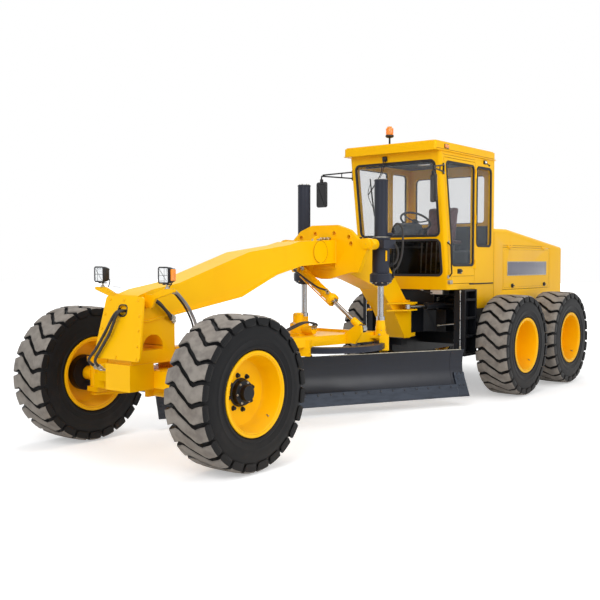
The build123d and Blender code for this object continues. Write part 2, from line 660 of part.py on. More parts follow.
def make_turn_cylinders():
    start = (aft(turn_foot[0]), turn_foot[1], turn_height)
    end = (aft(turn_eye[0]), turn_eye[1], turn_height)
    barrel = bar((start[0], start[1], turn_height - 35), (start[0], start[1], turn_height + 35), 44)
    barrel += bar(along(start, end, 38), along(start, end, 600), 38)
    barrel += bar(along(start, end, 560), along(start, end, 600), 46)
    barrel -= bar((start[0], start[1], turn_height - 50), (start[0], start[1], turn_height + 50),
                  25 + running_gap)
    barrel -= bar(along(start, end, 60), along(start, end, 620), 20 + running_gap)
    rod = bar(along(start, end, 280), end, 20)
    rod += bar((end[0], end[1], turn_height - 28), (end[0], end[1], turn_height + 28), 36)
    for name, shape in (("turn_barrel", barrel), ("turn_rod", rod)):
        parts[name + "_left"] = shape
        parts[name + "_right"] = other_side(shape)


# ---- cab ----------------------------------------------------------------------------
cab_front_top = 4120
cab_front_low = 4380
cab_rear = 5640
skirt_front = 5100
glass = 6
door_rear = 5075


hinge_radius = 10
hinge_y = cab_half_width + 11
hinge_x = aft(door_rear + 1)
hinge_length = 60
hood_hinge_z = 1998
door_hinge_levels = (1700, 2300, 2900)


def hinge_half(start, axis, reach):
    # one half of a hinge on the left side: a knuckle and the leaf that carries it
    x, y, z = start
    if axis == Axis.Z:
        knuckle = bar(start, (x, y, z + hinge_length), hinge_radius)
        leaf = slab((x + 4 * math.copysign(1, reach), x + reach), (cab_half_width, y - 3),
                    (z, z + hinge_length))
    else:
        knuckle = bar(start, (x + hinge_length, y, z), hinge_radius)
        leaf = slab((x, x + hinge_length), (cab_half_width, y - 3),
                    (z + 4 * math.copysign(1, reach), z + reach))
    return knuckle + leaf


cab_corner = 45
pane_corner = 60
roof_edge = 35
roof_overhang = 10
rear_post = (5130, 5540)       # rear side window, aft


def front_face(height):
    share = (cab_top - height) / (cab_top - cab_base)
    return aft(cab_front_top + share * (cab_front_low - cab_front_top))


def make_cab():
    outline = [(aft(cab_front_top), cab_top), (aft(cab_front_low), cab_base), (aft(cab_rear), cab_base),
               (aft(cab_rear), cab_top)]
    skirt = slab((aft(skirt_front), aft(cab_rear)), (cab_half_width - cab_wall, cab_half_width),
                 (hood_base, cab_base + 5))
    shell = side_plate(outline, (-cab_half_width, cab_half_width))
    posts = shell.edges().filter_by(lambda edge: edge.bounding_box().size.Z > 1000)
    shell = fillet(posts.filter_by(lambda edge: edge.center().X > aft(cab_rear - 100)), cab_corner)
    inner = [(aft(cab_front_top + cab_wall), cab_top + 1), (aft(cab_front_low + cab_wall - 6), cab_base + 60),
             (aft(cab_rear - cab_wall), cab_base + 60), (aft(cab_rear - cab_wall), cab_top + 1)]
    shell -= side_plate(inner, (-cab_half_width + cab_wall, cab_half_width - cab_wall))
    door = [(aft(4215), 3120), (aft(4455), 1505), (aft(door_rear), 1505), (aft(door_rear), 3120)]
    rear_window = oblong((aft(rear_post[0]), aft(rear_post[1])), (2010, 3060))
    for side in (1, -1):
        shell -= side_plate(door, (side * (cab_half_width + 5), side * (cab_half_width - cab_wall - 5)), 30)
        shell -= side_plate(rear_window, (side * (cab_half_width - 90), side * (cab_half_width + 10)), pane_corner)
    # windows seen from the front, columns: lowest, highest, half width
    windscreens = [(2130, 3000, 600), (1620, 2070, 600)]
    panes = None
    for low, high, half in windscreens:
        hole = front_plate(oblong((-half, half), (low, high)), (aft(4000), aft(4520)), pane_corner)
        shell -= hole
        pane = side_plate([(front_face(high) - 14, high), (front_face(high) - 14 - glass, high),
                           (front_face(low) - 14 - glass, low), (front_face(low) - 14, low)], (-half, half))
        panes = pane & hole if panes is None else panes + (pane & hole)
    back = front_plate(oblong((-560, 560), (2330, 3000)), (aft(cab_rear - 100), aft(cab_rear + 60)), pane_corner)
    shell -= back
    panes += slab((aft(5610), aft(5610 + glass)), (-560, 560), (2330, 3000)) & back
    for side in (1, -1):
        panes += side_plate(rear_window, (side * 660, side * (660 + glass)), pane_corner)
    for low in door_hinge_levels:
        shell += left_right(hinge_half((hinge_x, hinge_y, low + hinge_length + running_gap), Axis.Z, -30))
    parts["cab_shell"] = shell + left_right(skirt)
    parts["cab_glass"] = panes

    half = cab_half_width + roof_overhang
    plan = oblong((aft(4000), aft(5650)), (-half, half))
    roof = top_plate(plan, (cab_top, cab_top + roof_thickness - 14), roof_edge)
    lid = oblong((aft(4014), aft(5636)), (-half + 14, half - 14))
    roof += top_plate(lid, (cab_top + 10, cab_top + roof_thickness), roof_edge)
    parts["cab_roof"] = roof

    leaf = [(aft(4215 + 6), 3120 - door_gap), (aft(4455 + 5), 1505 + door_gap),
            (aft(door_rear - door_gap), 1505 + door_gap), (aft(door_rear - door_gap), 3120 - door_gap)]
    panel = side_plate(leaf, (cab_half_width - cab_wall, cab_half_width), 25)
    pane = [(aft(4285), 3060), (aft(4480), 1750), (aft(5030), 1750), (aft(5030), 3060)]
    panel -= side_plate(pane, (cab_half_width - 90, cab_half_width + 10), pane_corner - 20)
    for low in door_hinge_levels:
        panel += hinge_half((hinge_x, hinge_y, low), Axis.Z, 30)
    parts["cab_door_left"] = panel
    parts["cab_door_right"] = other_side(panel)
    sheet = side_plate(pane, (664, 664 + glass), pane_corner - 20)
    parts["door_glass_left"] = sheet
    parts["door_glass_right"] = other_side(sheet)


hood_break = 6090
hood_rear = 8050
hood_corner = 45
hood_door = (5930, 7600)       # aft
hood_door_levels = (1390, 2000)
hood_hinges = (6200, 7400)
grille_depth = 40
slat_count = 11


def make_hood():
    outline = [(aft(cab_rear), hood_base), (aft(cab_rear), hood_top), (aft(hood_break), hood_top),
               (aft(hood_rear), hood_rear_top), (aft(hood_rear), hood_base)]
    shell = side_plate(outline, (-cab_half_width, cab_half_width))
    shoulders = shell.edges().filter_by(
        lambda edge: edge.center().Z > hood_rear_top + 5 and abs(edge.center().Y) > cab_half_width - 5)
    shell = fillet(shoulders.filter_by(lambda edge: edge.bounding_box().size.X > 100), hood_corner)
    side = cab_half_width - hood_wall
    top = [(aft(cab_rear + hood_wall), hood_top - hood_wall), (aft(hood_break), hood_top - hood_wall),
           (aft(hood_rear + 10), hood_rear_top - hood_wall)]
    inner = [(aft(cab_rear + hood_wall), hood_base - 5)] + top + [(aft(hood_rear + 10), hood_base - 5)]
    shell -= side_plate(inner, (-side, side))
    opening = oblong((aft(hood_door[0]), aft(hood_door[1])), hood_door_levels)
    leaf = oblong((aft(hood_door[0] + door_gap), aft(hood_door[1] - door_gap)),
                  (hood_door_levels[0] + door_gap, hood_door_levels[1] - door_gap))
    for sign in (1, -1):
        shell -= side_plate(opening, (sign * (side - 60), sign * (cab_half_width + 10)))
    door = side_plate(leaf, (side, cab_half_width))
    for distance in hood_hinges:
        start = (aft(distance), hinge_y, hood_hinge_z)
        door += hinge_half(start, Axis.X, -30)
        beside = (start[0] + hinge_length + running_gap, hinge_y, hood_hinge_z)
        shell += left_right(hinge_half(beside, Axis.X, 30))
    parts["hood_door_left"] = door
    parts["hood_door_right"] = other_side(door)
    parts["hood"] = shell
    parts["engine_block"] = slab((aft(6000), aft(7500)), (-350, 350), (hood_base, 1950))
    # framed grille with tilted slats in front of the radiator's face
    low, high = 1200, hood_rear_top - hood_wall - 10
    grille = slab((aft(hood_rear - grille_depth), aft(hood_rear)), (-side, side), (low, high))
    grille -= slab((aft(hood_rear - 12), aft(hood_rear + 5)), (-side + 45, side - 45), (low + 45, high - 45))
    pitch = (high - low - 90) / slat_count
    for number in range(slat_count):
        slat = Pos(aft(hood_rear - 7), 0, low + 45 + (number + 0.5) * pitch) * Rot(0, 25, 0)
        grille += slat * Box(9, 2 * side - 80, pitch * 0.5)
    parts["radiator_grille"] = grille & slab((aft(hood_rear - grille_depth), aft(hood_rear)), (-side, side), (low, high))


def make_cab_inside():
    floor = cab_base + 60
    seat = slab((aft(4980), aft(5380)), (-170, 170), (floor, 1780))
    seat += slab((aft(4900), aft(5400)), (-250, 250), (1780, 1900))
    seat += side_plate([(aft(5300), 1900), (aft(5400), 1900), (aft(5520), 2560), (aft(5430), 2580)], (-235, 235))
    for side in (1, -1):
        seat += slab((aft(5000), aft(5330)), (side * 255, side * 320), (2040, 2090))
        seat += slab((aft(5280), aft(5330)), (side * 235, side * 320), (1900, 2060))
    parts["seat"] = seat
    column = side_plate([(aft(4480), floor), (aft(4640), floor), (aft(4740), 2050), (aft(4600), 2120),
                         (aft(4500), 2060)], (-120, 120))
    column += bar((aft(4680), 0, 2050), (aft(4770), 0, 2200), 30)
    wheel = extrude(RegularPolygon(222, 24) - RegularPolygon(194, 24), 12, both=True)
    for angle in (90, 210, 330):
        wheel += Rot(0, 0, angle) * Pos(102, 0, -4) * Box(196, 22, 12)
    wheel += Cylinder(45, 30)
    column += Pos(aft(4778), 0, 2212) * Rot(0, -31, 0) * wheel
    levers = slab((aft(4470), aft(4560)), (135, 560), (floor, floor + 120))
    for number in range(5):
        y = 180 + number * 75
        levers += bar((aft(4520), y, floor + 110), (aft(4560), y, 2060), 9)
        levers += Pos(aft(4562), y, 2080) * Cylinder(18, 46)
    parts["steering_console"] = column + left_right(levers)


def make_fittings():
    arm = bar((aft(4205), cab_half_width + 10, 2925), (aft(3700), 840, 2925), 9)
    arm += bar((aft(4205), cab_half_width + 10, 3010), (aft(3720), 833, 2940), 9)
    arm += bar((aft(3698), 840, 2845), (aft(3698), 840, 2950), 12)
    arm += slab((aft(4196), aft(4214)), (cab_half_width, cab_half_width + 18), (2900, 3030))
    head = front_plate(oblong((750, 940), (2510, 2850)), (aft(3680), aft(3715)), 35)
    parts["mirrors"] = left_right(arm + head)
    beacon = Pos(aft(4300), -170, 3310 + 70) * Cylinder(12, 140)
    beacon += Pos(aft(4300), -170, 3455) * Cylinder(56, 30)
    beacon += Pos(aft(4300), -170, 3505) * Cylinder(48, 80)
    beacon += Pos(aft(4300), -170, 3545) * Sphere(48)
    steps = None
    for level in (560, 800, 1040, 1280):
        tread = slab((aft(4611), aft(4939)), (641, 799), (level, level + 25))
        steps = tread if steps is None else steps + tread
    for distance in (4610, 4910):
        steps += slab((aft(distance), aft(distance + 30)), (640, 800), (560, cab_base))
    parts["beacon_and_lamp"] = beacon + slab((aft(4940), aft(5010)), (330, 450), (1380, 1425))
    tank = slab((aft(5020), aft(5180)), (420, 680), (600, 1120))
    rail = bar((aft(4388), 692, 1600), (aft(4372), 735, 1650), 9)
    rail += bar((aft(4372), 735, 1650), (aft(4340), 735, 2000), 9)
    rail += bar((aft(4340), 735, 2000), (aft(4330), 692, 2040), 9)
    rail += bar((aft(4372), 735, 1641), (aft(4372), 735, 1659), 9) + Pos(aft(4340), 735, 2000) * Sphere(9)
    parts["steps_and_rails"] = left_right(steps + tank + rail) - parts["cab_shell"]


def main():
    make_wheels()
    make_front_axle()
    make_front_frame()
    make_saddle()
    make_lift_cylinders()
    make_shift_cylinder()
    make_drawbar()
    make_circle()
    make_blade_carrier()
    make_tilt_cylinder()
    make_moldboard()
    make_rear_frame()
    make_turn_cylinders()
    make_cab()
    make_cab_inside()
    make_fittings()
    make_hood()
    os.makedirs("parts", exist_ok=True)
    for name, shape in parts.items():
        export_step(shape, "parts/" + name + ".step")


if __name__ == "__main__":
    main()
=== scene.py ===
import json
import math

import bmesh
import bpy
from mathutils import Matrix, Vector


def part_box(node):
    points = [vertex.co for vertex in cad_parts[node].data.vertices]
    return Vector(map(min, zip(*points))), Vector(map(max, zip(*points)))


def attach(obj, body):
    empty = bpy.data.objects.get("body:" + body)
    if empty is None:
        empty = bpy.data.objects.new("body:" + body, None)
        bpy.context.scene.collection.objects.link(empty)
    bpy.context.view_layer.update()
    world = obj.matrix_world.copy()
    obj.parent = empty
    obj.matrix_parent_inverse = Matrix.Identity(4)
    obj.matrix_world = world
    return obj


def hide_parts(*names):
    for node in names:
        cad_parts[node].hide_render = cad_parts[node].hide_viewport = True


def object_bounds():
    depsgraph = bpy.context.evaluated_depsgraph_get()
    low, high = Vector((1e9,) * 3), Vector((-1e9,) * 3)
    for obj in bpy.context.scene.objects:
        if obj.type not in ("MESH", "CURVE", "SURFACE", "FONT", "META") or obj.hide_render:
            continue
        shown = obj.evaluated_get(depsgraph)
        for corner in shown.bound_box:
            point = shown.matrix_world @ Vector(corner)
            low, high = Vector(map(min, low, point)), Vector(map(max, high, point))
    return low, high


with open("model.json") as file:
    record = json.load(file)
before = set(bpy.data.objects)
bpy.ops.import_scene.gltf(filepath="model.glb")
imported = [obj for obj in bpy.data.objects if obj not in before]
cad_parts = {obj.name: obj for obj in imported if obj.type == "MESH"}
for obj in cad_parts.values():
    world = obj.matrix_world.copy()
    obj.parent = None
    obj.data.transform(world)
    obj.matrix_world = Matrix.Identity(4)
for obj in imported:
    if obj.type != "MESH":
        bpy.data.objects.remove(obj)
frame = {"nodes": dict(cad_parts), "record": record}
cadLow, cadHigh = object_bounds()
nodes = frame["nodes"]
scene = bpy.context.scene
noseAxle = 3.763  # the front axle's place along the machine
print("frame loaded,", len(nodes), "nodes")


def back(distance):
    # a place that lies this far behind the front axle
    return noseAxle - distance


# ---- camera, floor and lamps
cameraView = {"place": (9.127, 6.077, 1.796), "heading": 218.82, "pitch": -2.58, "lens": 51.3, "sensor": 36,
    "reach": 200}
studio = {"level": 0.5, "floorColour": 0.8, "floorGlow": 0.4, "whiteFrom": 6.0, "whiteTo": 13.0, "backdrop": 1.0,
          "floorHalf": 60, "floorGap": 0.001, "lampAim": (0.3, 0, 1.2)}
# columns: place, size, power
lamps = [((11.5, 3.5, 7.5), 7.0, 560), ((2.0, 12.5, 7.0), 8.0, 620), ((-11.0, -5.0, 8.0), 8.0, 420),
         ((0.5, 0.0, 12.5), 9.0, 420)]


def addNode(tree, kind, inputs=None, **settings):
    made = tree.nodes.new(kind)
    for key, value in settings.items():
        setattr(made, key, value)
    for key, value in (inputs or {}).items():
        if isinstance(value, bpy.types.NodeSocket):
            tree.links.new(value, made.inputs[key])
        else:
            made.inputs[key].default_value = value
    return made


def blankTree(owner):
    owner.use_nodes = True
    owner.node_tree.nodes.clear()
    return owner.node_tree


def seenDirectly(tree):
    # 1 where the floor or the sky is looked at, straight or in a reflection or through glass
    path = addNode(tree, "ShaderNodeLightPath")
    first = addNode(tree, "ShaderNodeMath", {0: path.outputs["Is Camera Ray"], 1: path.outputs["Is Glossy Ray"]},
        operation="MAXIMUM")
    return addNode(tree, "ShaderNodeMath", {0: first.outputs[0], 1: path.outputs["Is Transmission Ray"]},
        operation="MAXIMUM").outputs[0]


def makeStudio():
    lens = bpy.data.cameras.new("camera")
    lens.lens, lens.sensor_width = cameraView["lens"], cameraView["sensor"]
    lens.clip_end = cameraView["reach"]
    eye = bpy.data.objects.new("camera", lens)
    scene.collection.objects.link(eye)
    eye.location = cameraView["place"]
    eye.rotation_euler = (math.radians(90 + cameraView["pitch"]), 0, math.radians(cameraView["heading"] - 90))
    scene.camera = eye
    scene.view_settings.view_transform = "Standard"

    sky = bpy.data.worlds.new("sky")
    tree = blankTree(sky)
    dim = addNode(tree, "ShaderNodeBackground", {"Strength": studio["level"]})
    bright = addNode(tree, "ShaderNodeBackground", {"Color": (1, 1, 1, 1), "Strength": studio["backdrop"]})
    dim.inputs["Color"].default_value = (0.97, 0.985, 1, 1)
    both = addNode(tree, "ShaderNodeMixShader", {0: seenDirectly(tree), 1: dim.outputs[0], 2: bright.outputs[0]})
    addNode(tree, "ShaderNodeOutputWorld", {"Surface": both.outputs[0]})
    scene.world = sky

    half = studio["floorHalf"]
    floorMesh = bpy.data.meshes.new("floor")
    low = cadLow.z - studio["floorGap"]
    floorMesh.from_pydata([(-half, -half, low), (half, -half, low), (half, half, low), (-half, half, low)], [],
        [(0, 1, 2, 3)])
    floor = bpy.data.objects.new("floor", floorMesh)
    scene.collection.objects.link(floor)
    paint = bpy.data.materials.new("floorPaint")
    tree = blankTree(paint)
    tone = studio["floorColour"]
    matt = addNode(tree, "ShaderNodeBsdfDiffuse", {"Color": (tone, tone, tone, 1)})
    # the floor meets the backdrop in white, further out than the object's shadow
    away = addNode(tree, "ShaderNodeTexCoord").outputs["Object"]
    away = addNode(tree, "ShaderNodeVectorMath", {0: away}, operation="LENGTH").outputs["Value"]
    rise = addNode(tree, "ShaderNodeMapRange", {"Value": away, "From Min": studio["whiteFrom"],
        "From Max": studio["whiteTo"], "To Min": studio["floorGlow"], "To Max": 1.0},
        interpolation_type="SMOOTHSTEP").outputs[0]
    glow = addNode(tree, "ShaderNodeMath", {0: seenDirectly(tree), 1: rise}, operation="MULTIPLY")
    light = addNode(tree, "ShaderNodeEmission", {"Color": (1, 1, 1, 1), "Strength": glow.outputs[0]})
    sum_ = addNode(tree, "ShaderNodeAddShader", {0: matt.outputs[0], 1: light.outputs[0]})
    addNode(tree, "ShaderNodeOutputMaterial", {"Surface": sum_.outputs[0]})
    floorMesh.materials.append(paint)

    for number, (place, size, power) in enumerate(lamps):
        light = bpy.data.lights.new(f"lamp{number}", "AREA")
        light.shape, light.size, light.energy = "DISK", size, power
        lamp = bpy.data.objects.new(f"lamp{number}", light)
        scene.collection.objects.link(lamp)
        lamp.location = place
        aim = Vector(studio["lampAim"]) - Vector(place)
        lamp.rotation_mode = "QUATERNION"
        lamp.rotation_quaternion = aim.to_track_quat("-Z", "Y")


makeStudio()
print("camera and studio ready")


# ---- shader groups that several finishes share
def newGroup(name, inputs, outputs):
    tree = bpy.data.node_groups.new(name, "ShaderNodeTree")
    for label, kind, start in inputs:
        socket = tree.interface.new_socket(label, in_out="INPUT", socket_type="NodeSocket" + kind)
        socket.default_value = start
    for label, kind in outputs:
        tree.interface.new_socket(label, in_out="OUTPUT", socket_type="NodeSocket" + kind)
    return tree, tree.nodes.new("NodeGroupInput"), tree.nodes.new("NodeGroupOutput")


def objectPlace(tree, scale=(1, 1, 1)):
    place = addNode(tree, "ShaderNodeTexCoord")
    return addNode(tree, "ShaderNodeMapping", {"Vector": place.outputs["Object"], "Scale": scale}).outputs[0]


def noiseOf(tree, vector, scale, detail=4.0, roughness=0.55):
    return addNode(tree, "ShaderNodeTexNoise", {"Vector": vector, "Scale": scale, "Detail": detail,
        "Roughness": roughness}).outputs["Fac"]


def stepOf(tree, value, low, high):
    return addNode(tree, "ShaderNodeMapRange", {"Value": value, "From Min": low, "From Max": high},
        interpolation_type="SMOOTHSTEP").outputs[0]


def mathOf(tree, kind, first, second=0.0):
    return addNode(tree, "ShaderNodeMath", {0: first, 1: second}, operation=kind).outputs[0]


def mixColour(tree, share, first, second, blend="MIX"):
    return addNode(tree, "ShaderNodeMix", {0: share, 6: first, 7: second}, data_type="RGBA",
        blend_type=blend).outputs[2]


def makeEdgeWear():
    # rounded normal near corners, and a broken mask where paint rubs off them
    tree, given, result = newGroup("edgeWear", [("Radius", "Float", 0.006), ("Break Scale", "Float", 30.0),
        ("Amount", "Float", 0.5)], [("Mask", "Float"), ("Normal", "Vector")])
    softened = addNode(tree, "ShaderNodeBevel", {"Radius": given.outputs["Radius"]}, samples=4)
    flat = addNode(tree, "ShaderNodeNewGeometry")
    along = addNode(tree, "ShaderNodeVectorMath", {0: softened.outputs[0], 1: flat.outputs["Normal"]},
        operation="DOT_PRODUCT").outputs["Value"]
    near = mathOf(tree, "SUBTRACT", 1.0, along)
    broken = noiseOf(tree, objectPlace(tree), given.outputs["Break Scale"], 5.0, 0.7)
    level = mathOf(tree, "MULTIPLY", near, mathOf(tree, "MULTIPLY", broken, 3.0))
    mask = stepOf(tree, level, 0.06, 0.2)
    tree.links.new(mathOf(tree, "MULTIPLY", mask, given.outputs["Amount"]), result.inputs["Mask"])
    tree.links.new(softened.outputs[0], result.inputs["Normal"])
    return tree


def makeDust():
    # dry earth that thickens towards the ground and on faces that look up
    tree, given, result = newGroup("roadDust", [("Top", "Float", 1.4), ("Amount", "Float", 0.5),
        ("Scale", "Float", 4.0)], [("Mask", "Float")])
    place = addNode(tree, "ShaderNodeTexCoord").outputs["Object"]
    height = addNode(tree, "ShaderNodeSeparateXYZ", {0: place}).outputs["Z"]
    low = mathOf(tree, "SUBTRACT", 1.0, mathOf(tree, "DIVIDE", height, given.outputs["Top"]))
    upward = addNode(tree, "ShaderNodeSeparateXYZ", {0: addNode(tree, "ShaderNodeNewGeometry").outputs["Normal"]})
    lying = stepOf(tree, upward.outputs["Z"], 0.5, 0.95)
    ground = mathOf(tree, "ADD", mathOf(tree, "MAXIMUM", low, 0.0), mathOf(tree, "MULTIPLY", lying, 0.35))
    patches = noiseOf(tree, place, given.outputs["Scale"], 7.0, 0.65)
    mask = stepOf(tree, mathOf(tree, "MULTIPLY", ground, patches), 0.12, 0.62)
    tree.links.new(mathOf(tree, "MULTIPLY", mask, given.outputs["Amount"]), result.inputs["Mask"])
    return tree


def makeVariation():
    # slow drift of tone over a panel, fine speckle and the height of a sprayed skin
    tree, given, result = newGroup("sprayedSkin", [("Colour", "Color", (0.5, 0.5, 0.5, 1)),
        ("Shade", "Color", (0.4, 0.4, 0.4, 1)), ("Grain Scale", "Float", 220.0)],
        [("Colour", "Color"), ("Height", "Float"), ("Roughness Drift", "Float")])
    place = objectPlace(tree)
    drift = noiseOf(tree, place, 1.1, 3.0)
    stains = noiseOf(tree, objectPlace(tree, (5, 5, 0.7)), 1.6, 6.0, 0.6)
    share = mathOf(tree, "ADD", mathOf(tree, "MULTIPLY", stepOf(tree, drift, 0.35, 0.7), 0.55),
        mathOf(tree, "MULTIPLY", stepOf(tree, stains, 0.5, 0.75), 0.45))
    tree.links.new(mixColour(tree, share, given.outputs["Colour"], given.outputs["Shade"]), result.inputs["Colour"])
    tree.links.new(noiseOf(tree, place, given.outputs["Grain Scale"], 2.0), result.inputs["Height"])
    tree.links.new(stains, result.inputs["Roughness Drift"])
    return tree


def makeGrain():
    # pebbled surface of moulded plastic, vinyl and rubber
    tree, given, result = newGroup("pebbleGrain", [("Scale", "Float", 300.0)],
        [("Height", "Float"), ("Spots", "Float")])
    place = objectPlace(tree)
    cells = addNode(tree, "ShaderNodeTexVoronoi", {"Vector": place, "Scale": given.outputs["Scale"]},
        feature="SMOOTH_F1").outputs["Distance"]
    soft = noiseOf(tree, place, 9.0, 6.0, 0.6)
    tree.links.new(mathOf(tree, "ADD", cells, mathOf(tree, "MULTIPLY", soft, 0.5)), result.inputs["Height"])
    tree.links.new(soft, result.inputs["Spots"])
    return tree


def makeScratches():
    # long fine marks that run level with the ground, as earth leaves them on a blade
    tree, given, result = newGroup("earthScratches", [("Amount", "Float", 0.5)],
        [("Mask", "Float"), ("Height", "Float")])
    fine = noiseOf(tree, objectPlace(tree, (3, 3, 160)), 1.0, 8.0, 0.7)
    wide = noiseOf(tree, objectPlace(tree, (0.8, 0.8, 14)), 1.0, 5.0, 0.6)
    marks = mathOf(tree, "MULTIPLY", stepOf(tree, fine, 0.52, 0.72), stepOf(tree, wide, 0.42, 0.68))
    tree.links.new(mathOf(tree, "MULTIPLY", marks, given.outputs["Amount"]), result.inputs["Mask"])
    tree.links.new(fine, result.inputs["Height"])
    return tree


groups = {"edge": makeEdgeWear(), "dust": makeDust(), "skin": makeVariation(), "grain": makeGrain(),
          "scratch": makeScratches()}


def placeGroup(tree, name, inputs=None):
    made = tree.nodes.new("ShaderNodeGroup")
    made.node_tree = groups[name]
    for key, value in (inputs or {}).items():
        if isinstance(value, bpy.types.NodeSocket):
            tree.links.new(value, made.inputs[key])
        else:
            made.inputs[key].default_value = value
    return made


def rgb(red, green, blue):
    # screen colour, 0 to 255, as the linear colour that shaders take
    def line(value):
        value /= 255
        return value / 12.92 if value <= 0.04045 else ((value + 0.055) / 1.055) ** 2.4
    return (line(red), line(green), line(blue), 1)


def finishTree(name, plain):
    made = bpy.data.materials.new(name)
    tree = blankTree(made)
    shader = addNode(tree, "ShaderNodeBsdfPrincipled")
    for key, value in plain.items():
        shader.inputs[key].default_value = value
    addNode(tree, "ShaderNodeOutputMaterial", {"Surface": shader.outputs[0]})
    return made, tree, shader


earthColour = rgb(142, 128, 112)


def paintFinish(name, look):
    made, tree, shader = finishTree(name, {"Coat Roughness": 0.08, "Specular IOR Level": look.get("gloss", 0.5)})
    skin = placeGroup(tree, "skin", {"Colour": look["colour"], "Shade": look["shade"]})
    edge = placeGroup(tree, "edge", {"Radius": look.get("round", 0.005), "Amount": look["wear"]})
    dust = placeGroup(tree, "dust", {"Top": look.get("dustTop", 1.3), "Amount": look["dust"]})
    worn = mixColour(tree, edge.outputs["Mask"], skin.outputs["Colour"], look["bare"])
    dusty = mixColour(tree, dust.outputs["Mask"], worn, earthColour)
    rough = mathOf(tree, "ADD", look["rough"], mathOf(tree, "MULTIPLY", skin.outputs["Roughness Drift"], 0.14))
    rough = mathOf(tree, "ADD", rough, mathOf(tree, "MULTIPLY", dust.outputs["Mask"], 0.4))
    height = skin.outputs["Height"]
    if look.get("scratches"):
        marks = placeGroup(tree, "scratch", {"Amount": look["scratches"]})
        dusty = mixColour(tree, marks.outputs["Mask"], dusty, look["bare"])
        height = mathOf(tree, "ADD", height, mathOf(tree, "MULTIPLY", marks.outputs["Height"], 0.6))
    coat = mathOf(tree, "MULTIPLY", mathOf(tree, "SUBTRACT", 1.0, dust.outputs["Mask"]), look.get("coat", 0.3))
    bump = addNode(tree, "ShaderNodeBump", {"Strength": look.get("bump", 0.06), "Distance": 0.002, "Height": height,
        "Normal": edge.outputs["Normal"]})
    for key, value in (("Base Color", dusty), ("Roughness", rough), ("Coat Weight", coat),
            ("Normal", bump.outputs[0])):
        tree.links.new(value, shader.inputs[key])
    return made


def grainFinish(name, look):
    # plastic, vinyl and rubber
    made, tree, shader = finishTree(name, {"Sheen Weight": look.get("sheen", 0.0),
        "Specular IOR Level": look.get("gloss", 0.4)})
    grain = placeGroup(tree, "grain", {"Scale": look["grain"]})
    edge = placeGroup(tree, "edge", {"Radius": look.get("round", 0.004), "Amount": look.get("wear", 0.3)})
    dust = placeGroup(tree, "dust", {"Top": look.get("dustTop", 1.3), "Amount": look["dust"]})
    tone = mixColour(tree, stepOf(tree, grain.outputs["Spots"], 0.35, 0.7), look["colour"], look["shade"])
    tone = mixColour(tree, edge.outputs["Mask"], tone, look["bare"])
    tone = mixColour(tree, dust.outputs["Mask"], tone, earthColour)
    rough = mathOf(tree, "ADD", look["rough"], mathOf(tree, "MULTIPLY", grain.outputs["Spots"], 0.2))
    bump = addNode(tree, "ShaderNodeBump", {"Strength": look.get("bump", 0.3), "Distance": 0.001,
        "Height": grain.outputs["Height"], "Normal": edge.outputs["Normal"]})
    for key, value in (("Base Color", tone), ("Roughness", rough), ("Normal", bump.outputs[0])):
        tree.links.new(value, shader.inputs[key])
    return made


def metalFinish(name, look):
    made, tree, shader = finishTree(name, {})
    edge = placeGroup(tree, "edge", {"Radius": look.get("round", 0.003), "Amount": look.get("wear", 0.4)})
    marks = noiseOf(tree, objectPlace(tree, look.get("stretch", (1, 1, 1))), look["marks"], 6.0, 0.65)
    tone = mixColour(tree, stepOf(tree, marks, 0.4, 0.75), look["colour"], look["shade"])
    tone = mixColour(tree, edge.outputs["Mask"], tone, look["bare"])
    rough = mathOf(tree, "ADD", look["rough"], mathOf(tree, "MULTIPLY", marks, look.get("drift", 0.2)))
    solid = mathOf(tree, "SUBTRACT", look["metal"],
        mathOf(tree, "MULTIPLY", stepOf(tree, marks, 0.6, 0.8), look.get("rust", 0.0)))
    bump = addNode(tree, "ShaderNodeBump", {"Strength": look.get("bump", 0.08), "Distance": 0.001, "Height": marks,
        "Normal": edge.outputs["Normal"]})
    for key, value in (("Base Color", tone), ("Roughness", rough), ("Metallic", solid), ("Normal", bump.outputs[0])):
        tree.links.new(value, shader.inputs[key])
    return made


def lensFinish(name, look):
    made, tree, shader = finishTree(name, {"Coat Weight": look.get("coat", 0.6), "Coat Roughness": 0.03, "IOR": 1.5,
        "Alpha": look.get("clear", 1.0), "Specular IOR Level": look.get("gloss", 0.5)})
    place = objectPlace(tree)
    haze = noiseOf(tree, place, look["hazeScale"], 5.0, 0.6)
    tone = mixColour(tree, stepOf(tree, haze, 0.4, 0.75), look["colour"], look["shade"])
    ridges = addNode(tree, "ShaderNodeTexWave", {"Vector": place, "Scale": look["ridges"]},
        bands_direction=look.get("run", "Z"))
    rough = mathOf(tree, "ADD", look["rough"], mathOf(tree, "MULTIPLY", haze, 0.12))
    bump = addNode(tree, "ShaderNodeBump", {"Strength": look["bump"], "Distance": 0.001,
        "Height": ridges.outputs["Fac"]})
    for key, value in (("Base Color", tone), ("Roughness", rough), ("Normal", bump.outputs[0])):
        tree.links.new(value, shader.inputs[key])
    if look.get("glow"):
        tree.links.new(tone, shader.inputs["Emission Color"])
        shader.inputs["Emission Strength"].default_value = look["glow"]
    return made


bareSteel = rgb(150, 148, 145)
